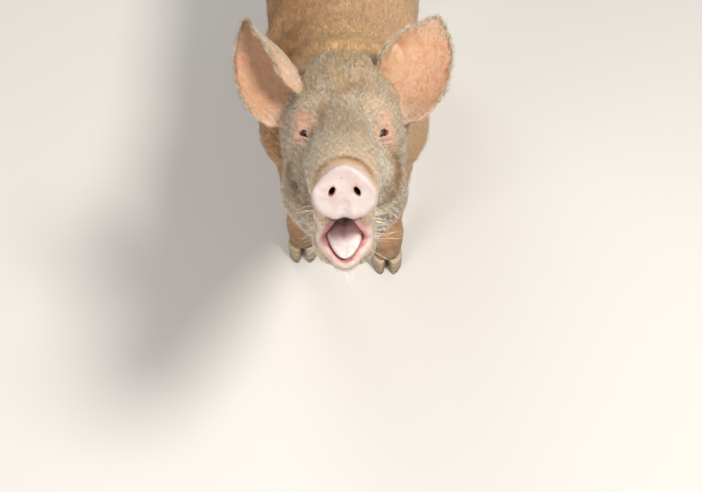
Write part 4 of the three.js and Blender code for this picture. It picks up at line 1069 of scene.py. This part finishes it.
RIDGE_BOW = 0.004  # how far the ridges bend back at the sides
STATION_STEP = 0.0102
SQUARENESS = 0.8  # 1 is an oval section
GROOVE_SHARE, GROOVE_WIDTH = 0.30, 0.0030
EDGE_SHARE = 0.22  # how far the sides of the top curl up
TONGUE_PINK = (0.60, 0.475, 0.455, 1)
TONGUE_PALE = (0.70, 0.64, 0.62, 1)
TONGUE_ROSE = (0.62, 0.42, 0.39, 1)

stations = np.array([(y, z, w, h) for (y, z), w, h in TONGUE_STATIONS])
rings = []
for k in range(TONGUE_RINGS + 1):
    s = k / TONGUE_RINGS * (len(stations) - 1)
    a = min(int(s), len(stations) - 2)
    rows = [stations[min(max(a + shift, 0), len(stations) - 1)] for shift in (-1, 0, 1, 2)]
    spline = between(*rows, s - a)
    slope = rows[2] - rows[1]
    forward = np.array((slope[0], slope[1])) / math.hypot(slope[0], slope[1])
    upward = np.array((forward[1], -forward[0]))  # square to the middle line, out of the tongue's top
    upward = upward if upward[1] > 0 else -upward
    ring = []
    for j in range(TONGUE_SIDES):
        angle = math.tau * j / TONGUE_SIDES
        x = spline[2] * math.copysign(abs(math.cos(angle)) ** SQUARENESS, math.cos(angle))
        lift = spline[3] * math.copysign(abs(math.sin(angle)) ** SQUARENESS, math.sin(angle))
        if math.sin(angle) > 0:
            share = math.sin(angle)
            lift -= GROOVE_SHARE * spline[3] * math.exp(-((x / GROOVE_WIDTH) ** 2))
            lift += EDGE_SHARE * spline[3] * abs(x / spline[2]) ** 3
            wave = s * STATION_STEP + 0.9 * (x / 0.02) ** 2 * RIDGE_BOW
            lift += RIDGE_HEIGHT * share * math.sin(math.tau * wave / RIDGE_STEP)
        ring.append(HEAD @ Vector((x, spline[0] + upward[0] * lift, spline[1] + upward[1] * lift)))
    rings.append(ring)
tongue = closed_tube("tongue_flesh", rings)
shade_smooth(tongue)

tongue_finish, t, shader = new_finish("tongue_finish")
place = place_in(t)
colour = tint(t, TONGUE_PINK, TONGUE_PALE, speckle(t, place, 90, 0.35, 0.62))
colour = tint(t, colour, TONGUE_ROSE, times(t, speckle(t, place, 420, 0.52, 0.70), 0.4))
papillae = put(t, "ShaderNodeTexVoronoi", {"Vector": place, "Scale": 900.0})
feed(t, shader, {
    "Base Color": colour,
    "Normal": bumped(t, papillae.outputs["Distance"], 0.5, 0.0005),
    "Roughness": ranged(t, speckle(t, place, 260, 0.2, 0.8), target=(0.34, 0.52)),
    "Subsurface Weight": 0.2,
    "Subsurface Scale": 0.004,
})
tongue.data.materials.append(tongue_finish)
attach(tongue, "root")
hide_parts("tongue")

# ------------------------------------------------------------------ claws
# Each foot ends in two claws and carries two dewclaws behind. They are horn with faint growth rings, soiled
# below, and stand on small flats at the floor.
CLAW_GRAIN = 0.0015
RING_STEP = 0.0042
RING_DEPTH = 0.00022
SOLE_FLAT = 0.0012  # this much of each claw's bottom is levelled
HORN_DARK = (0.36, 0.27, 0.17, 1)
HORN_PALE = (0.50, 0.40, 0.27, 1)
HORN_FIBRE = (0.20, 0.14, 0.085, 1)
SOIL = (0.13, 0.095, 0.06, 1)

horn, t, shader = new_finish("claw_horn")
place = place_in(t)
height = put(t, "ShaderNodeSeparateXYZ", {"Vector": place}).outputs["Z"]
waves = {"Vector": place, "Scale": 38.0, "Distortion": 3.0, "Detail": 3.0}
bands = put(t, "ShaderNodeTexWave", waves, bands_direction="Z").outputs["Fac"]
fibre_place = put(t, "ShaderNodeMapping", {"Vector": place, "Scale": (1, 1, 0.08)}).outputs["Vector"]
colour = tint(t, HORN_DARK, HORN_PALE, bands)
colour = tint(t, colour, HORN_FIBRE, times(t, speckle(t, fibre_place, 420, 0.45, 0.75), 0.6))
low_down = ranged(t, height, (0.030, 0.002))
feed(t, shader, {
    "Base Color": tint(t, colour, SOIL, times(t, low_down, speckle(t, place, 150, 0.25, 0.65))),
    "Normal": bumped(t, speckle(t, fibre_place, 700, 0.2, 0.8), 0.4, 0.0006),
    "Roughness": ranged(t, speckle(t, place, 200, 0.2, 0.8), target=(0.42, 0.66)),
})

for node in sorted(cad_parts):
    if "claw" not in node:
        continue
    claw = copied_solid("horn_" + node, [node], 0)
    run_together(claw, CLAW_GRAIN)
    own = points_of(claw.data)
    relax(own, edges_of(claw.data), 0.5, 4)
    set_points(claw.data, own)
    grown = smooth_step(0.001, 0.006, own[:, 2])
    rings = np.sin(math.tau * (own[:, 2] + 0.25 * own[:, 1]) / RING_STEP + 2 * drift(own, 0.02, 31))
    own += normals_of(claw.data) * (RING_DEPTH * rings * grown)[:, None]
    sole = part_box(node)[0].z
    own[:, 2] = np.where(own[:, 2] < sole + SOLE_FLAT, sole, own[:, 2])
    set_points(claw.data, own)
    shade_smooth(claw)
    claw.data.materials.append(horn)
    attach(claw, "root")
    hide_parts(node)

# ------------------------------------------------------------------ coat
# Short whitish hair lies dense on the face and ears and sparse, longer bristles on the trunk, all towards
# the back and down the legs. Each hair is a thin closed spindle, bent at its middle, whose root is sunk in
# the hide.
STRAW = (0.96, 0.81, 0.55, 1)
SILVER = (0.99, 0.96, 0.88, 1)
DUSTY = (0.42, 0.34, 0.22, 1)
SPECK = (0.20, 0.155, 0.100, 1)
HAIR_SINK = 0.0006
BAKE_PATCH = 0.003
CLUMP = 0.0055  # hairs within this distance lean the same way
TUFT = 0.0032  # and within this one they have the same tone
CELL_KEYS = np.array((73856093, 19349663, 83492791))  # large primes, so that neighbours get unlike numbers
ROOT_PAINTED_SHADE = (0.66, 0.54, 0.42, 1)
FACE_TO_NECK = (0.195, 0.225)  # how far behind the snout one piece of coat gives way to the next
NECK_TO_TRUNK = (0.36, 0.42)
HAIR_FACES = np.array([(0, 2, 1), (0, 3, 2), (0, 1, 3), (4, 1, 2), (4, 2, 3), (4, 3, 1)])
COATS = [  # name, hairs, length, half width, lift in degrees at the root, how much clumps lean, seed
    ("coat_face_left", 32000, 0.0080, 0.00018, 18, 1.0, 21),
    ("coat_face_right", 32000, 0.0080, 0.00018, 18, 1.0, 22),
    ("coat_ears", 32000, 0.0070, 0.00013, 20, 0.5, 23),
    ("coat_neck", 32000, 0.0125, 0.00016, 17, 0.45, 24),
    ("coat_trunk_left", 32000, 0.0150, 0.00016, 12, 0.15, 25),
    ("coat_trunk_right", 32000, 0.0150, 0.00016, 12, 0.15, 26),
    ("coat_legs", 32000, 0.0105, 0.00015, 17, 0.3, 27),
]

bpy.context.view_layer.objects.active = skin
bpy.ops.object.mode_set(mode="EDIT")
bpy.ops.mesh.select_all(action="SELECT")
bpy.ops.uv.smart_project(angle_limit=math.radians(70), island_margin=0.002)
bpy.ops.object.mode_set(mode="OBJECT")
skin.data.uv_layers[0].name = "OFBake"
corners = corners_of(skin.data)
corner_uvs = numbers_of(skin.data.uv_layers["OFBake"].data, "uv", 2)[corners_of(skin.data, "loops")]
corner_points = points[corners]
first_sides = corner_points[:, 1] - corner_points[:, 0]
second_sides = corner_points[:, 2] - corner_points[:, 0]
face_areas = 0.5 * np.linalg.norm(np.cross(first_sides, second_sides), axis=1)


def mixed(values, triangles, weights):
    """A value of the skin's corners, mixed at roots inside its triangles."""
    return np.einsum("ij,ij...->i...", weights, values[corners[triangles]])


def cell_of(roots, size):
    """A whole number for the cube of space that each root lies in."""
    return np.floor(roots / size).astype(np.int64) @ CELL_KEYS


def lie_at(roots):
    """The way the coat lies at each root, before it is laid on the skin."""
    from_snout = in_head(roots)
    head = 1 - smooth_step(0.20, 0.34, from_snout[:, 1])
    outward = from_snout * (1, 0, 1)
    facial = np.array((0, 1.0, 0)) + 3.0 * outward * smooth_step(0.0, 0.05, from_snout[:, 1])[:, None]
    facial = facial @ np.array(HEAD_TURN)[:3, :3].T
    flank = smooth_step(0.04, 0.12, np.abs(roots[:, 0]))
    trunk = np.stack([0 * flank, 1 + 0 * flank, -0.15 - 0.45 * flank], axis=1)
    leg = 1 - smooth_step(0.26, 0.38, roots[:, 2])
    trunk = trunk * (1 - leg)[:, None] + np.array((0, 0.25, -1)) * leg[:, None]
    tail_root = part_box("tail")[0].y
    tail = smooth_step(tail_root, tail_root + 0.03, roots[:, 1])
    trunk = trunk * (1 - tail)[:, None] + np.array((0, 0.3, -1)) * tail[:, None]
    return facial * head[:, None] + trunk * (1 - head)[:, None]


def grow(name, count, length, half_width, lift, leaning, seed, density, longer, lie):
    """A piece of coat. Each point of the skin has its share of the hairs, and of their length."""
    dice = np.random.default_rng(seed)
    share = face_areas * density[corners].mean(1)
    steps = np.cumsum(share) / share.sum()
    triangles = np.searchsorted(steps, (np.arange(count) + dice.uniform(0, 1, count)) / count)
    triangles = np.clip(triangles, 0, len(corners) - 1)
    weights = dice.dirichlet((1, 1, 1), count)
    roots = mixed(points, triangles, weights)
    out = unit(mixed(normals, triangles, weights))
    way = lie(roots)
    way = unit(way - np.einsum("ij,ij->i", way, out)[:, None] * out)
    across = np.cross(out, way)
    cell = cell_of(roots, CLUMP)
    clump = np.sin(cell * 0.7390851 + seed)
    turn = 0.20 * drift(roots, 0.045, seed) + 0.25 * leaning * clump + dice.normal(0, 0.18, count)
    way = way * np.cos(turn)[:, None] + across * np.sin(turn)[:, None]
    across = np.cross(out, way)
    steepness = 1 + 0.32 * leaning * np.sin(cell * 1.618 + 2) + dice.normal(0, 0.28, count)
    rise = np.radians(lift) * np.clip(steepness, 0.25, 2.2)
    long = length * np.clip(dice.normal(1, 0.20, count), 0.45, 1.5)
    long *= np.einsum("ij,ij->i", weights, longer[corners[triangles]])
    thick = half_width * np.clip(dice.normal(1, 0.15, count), 0.6, 1.4) * np.clip(long / length, 0.6, 1.2)
    first = way * np.cos(rise)[:, None] + out * np.sin(rise)[:, None]
    rise = rise * 0.35
    bend = dice.normal(0, 0.16, count)
    second = unit(way * np.cos(rise)[:, None] + out * np.sin(rise)[:, None] + across * bend[:, None])
    middle = roots + first * (0.46 * long)[:, None]
    tip = middle + second * (0.54 * long)[:, None]
    normal = unit(np.cross(across, first))
    body = np.empty((count, 5, 3))
    body[:, 0] = roots - out * HAIR_SINK
    body[:, 4] = tip
    for k in range(3):
        angle = math.tau * k / 3
        body[:, 1 + k] = middle + (across * math.cos(angle) + normal * math.sin(angle)) * thick[:, None]
    faces = (HAIR_FACES[None] + 5 * np.arange(count)[:, None, None]).reshape(-1, 3)
    mesh = bpy.data.meshes.new(name)
    mesh.vertices.add(5 * count)
    mesh.vertices.foreach_set("co", body.astype(np.float32).ravel())
    mesh.loops.add(faces.size)
    mesh.loops.foreach_set("vertex_index", faces.astype(np.int32).ravel())
    mesh.polygons.add(len(faces))
    mesh.polygons.foreach_set("loop_start", np.arange(0, faces.size, 3, dtype=np.int32))
    mesh.update(calc_edges=True)
    root_uv = np.einsum("ij,ijk->ik", weights, corner_uvs[triangles])
    spread = BAKE_PATCH * np.array([(0, -0.5), (-0.5, 0), (0, 0.1), (0.5, 0), (0, 0.5)])
    uv = (root_uv[:, None] + spread[None]).reshape(-1, 2)
    layer = mesh.uv_layers.new(name="OFBake")
    layer.data.foreach_set("uv", uv[faces.ravel()].astype(np.float32).ravel())
    for mark, shares in SHARES.items():
        store(mesh, mark, np.repeat(mixed(np.clip(shares, 0, 1), triangles, weights), 5, axis=0))
    strand = np.empty((count, 5, 4))
    strand[:, :, 0] = np.array((0, 0.5, 0.5, 0.5, 1))  # along the hair
    strand[:, :, 1] = dice.uniform(0, 1, count)[:, None]
    strand[:, :, 2] = ((cell_of(roots, TUFT) * 40503 % 4096) / 4096)[:, None]  # the same within a tuft
    strand[:, :, 3] = 1
    store(mesh, "strand", strand)
    coat = placed(name, mesh)
    mesh.materials.append(hair)
    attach(coat, "root")


hair, t, shader = new_finish("hair")
colours = put(t, "ShaderNodeGroup", node_tree=hide_colours)
white = colours.outputs["White"]
read = put(t, "ShaderNodeAttribute", attribute_name="strand").outputs["Color"]
along_hair, luck, tuft = put(t, "ShaderNodeSeparateColor", {"Color": read}).outputs[:3]
place = place_in(t)
pale = tint(t, STRAW, SILVER, white)
pale = tint(t, pale, SILVER, times(t, luck, 0.35))
dusty = times(t, ranged(t, luck, (0.62, 0.95)), speckle(t, place, 190, 0.42, 0.64), "MAXIMUM")
pale = tint(t, pale, DUSTY, times(t, dusty, ranged(t, white, target=(0.34, 0.04))))
specks = times(t, ranged(t, white, target=(0.60, 0.15)), speckle(t, place, 230, 0.54, 0.60, 2.0))
pale = tint(t, pale, SPECK, specks)
pale = tint(t, pale, ranged(t, tuft, (0, 0.55), (0.50, 1)), 1.0, "MULTIPLY")
# The hair takes on the hide's marks, painted shade included.
stain_and_shade = times(t, colours.outputs["StainAndShade"], ranged(t, luck, target=(1.5, 0.9)))
stain_and_shade = times(t, stain_and_shade, ranged(t, white, target=(0.34, 0.02)), "ADD")
stained_and_shaded = tint(t, pale, colours.outputs["Colour"], stain_and_shade)
feed(t, shader, {
    # The hair darkens towards its root: painted shade among the hairs near the hide.
    "Base Color": tint(t, stained_and_shaded, ROOT_PAINTED_SHADE, ranged(t, along_hair, target=(0.36, 0)), "MULTIPLY"),
    "Roughness": 0.42,
    "Specular IOR Level": 0.35,
})

hairy = 1 - np.clip(bare + hollow, 0, 1)
right_half = smooth_step(-0.0005, 0.0005, -points[:, 0])
fleshy = np.clip(spots(head_points, PINK_PLACES), 0, 1)
face_share = (1 - smooth_step(*FACE_TO_NECK, behind)) * (1 - on_ear) * hairy
face_share = face_share * (1 - 0.75 * fleshy) * smooth_step(0.012, 0.030, behind)
muzzle_short = 0.62 + 0.38 * smooth_step(0.030, 0.120, behind)
muzzle_short = muzzle_short * (1 - 0.45 * fleshy) * (1 + 0.35 * smooth_step(0.13, 0.20, behind))
leg_share = (1 - smooth_step(0.25, 0.29, points[:, 2])) * (behind > 0.32)
neck_share = smooth_step(*FACE_TO_NECK, behind) * (1 - smooth_step(*NECK_TO_TRUNK, behind)) * (1 - on_ear)
trunk_share = smooth_step(*NECK_TO_TRUNK, behind) * (1 - leg_share)
trunk_share = trunk_share * (1 - 0.7 * under)


def ear_lie(roots):
    return np.where(roots[:, :1] > 0, axis_left, axis_right)


edge_rows = edges_of(skin.data)
one_end, other_end = edge_rows.T
apart = np.linalg.norm(normals[one_end] - normals[other_end], axis=1)
apart /= np.maximum(np.linalg.norm(points[one_end] - points[other_end], axis=1), 0.0008)
bent = np.zeros(len(points))
np.maximum.at(bent, one_end, apart)
np.maximum.at(bent, other_end, apart)
off_root = np.maximum(along_left * (points[:, 0] > 0), along_right * (points[:, 0] < 0)) > 0.08
ear_rim = on_ear * smooth_step(250, 420, bent) * off_root
ear_share = on_ear * (1 - 0.72 * lining) + 1.3 * ear_rim
full_length = np.ones(len(points))
FIELDS = {
    "coat_face_left": (face_share * (1 - right_half), muzzle_short, lie_at),
    "coat_face_right": (face_share * right_half, muzzle_short, lie_at),
    "coat_ears": (ear_share, 0.8 + 0.9 * ear_rim, ear_lie),
    "coat_neck": (neck_share, full_length, lie_at),
    "coat_trunk_left": (trunk_share * (1 - right_half), full_length, lie_at),
    "coat_trunk_right": (trunk_share * right_half, full_length, lie_at),
    "coat_legs": (leg_share, 0.6 + 0.4 * smooth_step(0.05, 0.20, points[:, 2]), lie_at),
}
for row in COATS:
    grow(*row, *FIELDS[row[0]])

# ------------------------------------------------------------------ whiskers and lashes
# Long curly white bristles stand on the chin, the lips and the cheeks, and a row of pale lashes on each
# upper lid.
WHISKERS = 90
WHISKER_LENGTH = (0.016, 0.040)
LASHES = 22
LASH_LENGTH = 0.0072
FRINGE = 260  # dark short hairs under the disc, above the mouth
FRINGE_LENGTH = (0.0035, 0.0070)
BRISTLE_WIDTH = 0.00016
LASH_WIDTH = 0.00010
BRISTLE_STEPS = 7
BRISTLE_SIDES = (0, 2.094, 4.189)  # a third of a turn apart, in radians
FRINGE_DARK = (0.075, 0.060, 0.050, 1)
FRINGE_BROWN = (0.26, 0.21, 0.16, 1)


def bristles(name, stems, half_width, finish):
    """One piece of curved bristles. Each stem is its root, its first direction, its length and its curl."""
    work = bmesh.new()
    layer = work.loops.layers.uv.new("OFBake")
    for root, way, length, curl in stems:
        at = root - way * HAIR_SINK
        turn = way.orthogonal().normalized()
        rings = []
        for k in range(BRISTLE_STEPS):
            wide = half_width * (1 - 0.75 * k / BRISTLE_STEPS)
            across = way.cross(turn).normalized()
            rings.append([at + (turn * math.cos(a) + across * math.sin(a)) * wide for a in BRISTLE_SIDES])
            at = at + way * (length / BRISTLE_STEPS)
            way = (way + curl * (length / BRISTLE_STEPS)).normalized()
        made = [[work.verts.new(p) for p in ring] for ring in rings]
        end = work.verts.new(at)
        faces = [work.faces.new(made[0][::-1])]
        for low, high in zip(made[:-1], made[1:]):
            for k in range(3):
                faces.append(work.faces.new((low[k], low[(k + 1) % 3], high[(k + 1) % 3], high[k])))
        for k in range(3):
            faces.append(work.faces.new((made[-1][k], made[-1][(k + 1) % 3], end)))
        middle = corner_uvs[tree.find_nearest(root)[2]].mean(0)
        for face in faces:
            for k, loop in enumerate(face.loops):
                spread = np.array((0.5 * math.cos(2 * k), 0.5 * math.sin(2 * k)))
                loop[layer].uv = middle + BAKE_PATCH * spread
    bmesh.ops.triangulate(work, faces=work.faces)
    bmesh.ops.recalc_face_normals(work, faces=work.faces)
    piece = as_piece(work, name)
    piece.data.materials.append(finish)
    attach(piece, "root")


def roots_in(density, count):
    """Random places on the skin, more where the density is high, each with the way out of the skin there."""
    share = face_areas * density[corners].mean(1)
    chosen = np.searchsorted(np.cumsum(share) / share.sum(), dice.uniform(0, 1, count))
    rows = np.clip(chosen, 0, len(corners) - 1)
    outs = [Vector(normals[corners[row]].mean(0)).normalized() for row in rows]
    return [(Vector(corner_points[row].mean(0)), out) for row, out in zip(rows, outs)]


bristle_finish, t, shader = new_finish("bristle_finish")
yellowed = times(t, speckle(t, place_in(t), 60, 0.4, 0.6), 0.5)
feed(t, shader, {"Base Color": tint(t, SILVER, STRAW, yellowed), "Roughness": 0.35})

dark_bristle, t, shader = new_finish("dark_bristle")
colour = tint(t, FRINGE_DARK, FRINGE_BROWN, speckle(t, place_in(t), 300, 0.40, 0.62))
feed(t, shader, {"Base Color": colour, "Roughness": 0.45})

tree = BVHTree.FromPolygons(points.tolist(), corners.tolist())
dice = np.random.default_rng(41)
chin = (1 - smooth_step(-0.030, -0.010, above)) * smooth_step(0.025, 0.045, behind)
chin *= (1 - smooth_step(0.125, 0.160, behind)) * hairy
cheek = 0.04 * smooth_step(0.030, 0.050, aside) * on_head * (1 - on_ear) * (behind < 0.18) * hairy
stems = []
for root, out in roots_in(chin + cheek, WHISKERS):
    way = out * dice.uniform(0.6, 1.1) + HEAD_BACK * dice.uniform(0.2, 0.7) + Vector(dice.normal(0, 0.15, 3))
    curl = Vector(dice.normal(0, 22, 3)) + Vector((0, 0, -12))
    stems.append((root, way.normalized(), dice.uniform(*WHISKER_LENGTH), curl))
bristles("whiskers", stems, BRISTLE_WIDTH, bristle_finish)

stems = []
for side in (1, -1):
    middle, (along, up, gaze) = eye_axes(side)
    for k in range(LASHES):
        s = k / (LASHES - 1)
        c = -0.0062 + 0.0135 * s
        u = 0.0038 - 34 * (c + 0.001) ** 2 + dice.normal(0, 0.0003)
        root = middle + along * c + up * (u + 0.0007) + gaze * 0.0146
        way = gaze * 0.45 + up * 0.75 + along * (0.5 * (s - 0.4)) + Vector(dice.normal(0, 0.10, 3))
        stems.append((root, way.normalized(), LASH_LENGTH * dice.uniform(0.7, 1.15), -up * 12))
bristles("lashes", stems, LASH_WIDTH, bristle_finish)

fringe = smooth_step(0.009, 0.012, behind) * (1 - smooth_step(0.018, 0.024, behind))
fringe *= (above < -0.022) * (1 - smooth_step(0.014, 0.022, aside))
stems = []
for root, out in roots_in(fringe, FRINGE):
    way = out * 0.6 + HEAD_TURN @ Vector((dice.normal(0, 0.25), -0.25, -0.8))
    stems.append((root, way.normalized(), dice.uniform(*FRINGE_LENGTH), HEAD_BACK * 25))
bristles("lip_fringe", stems, BRISTLE_WIDTH, dark_bristle)
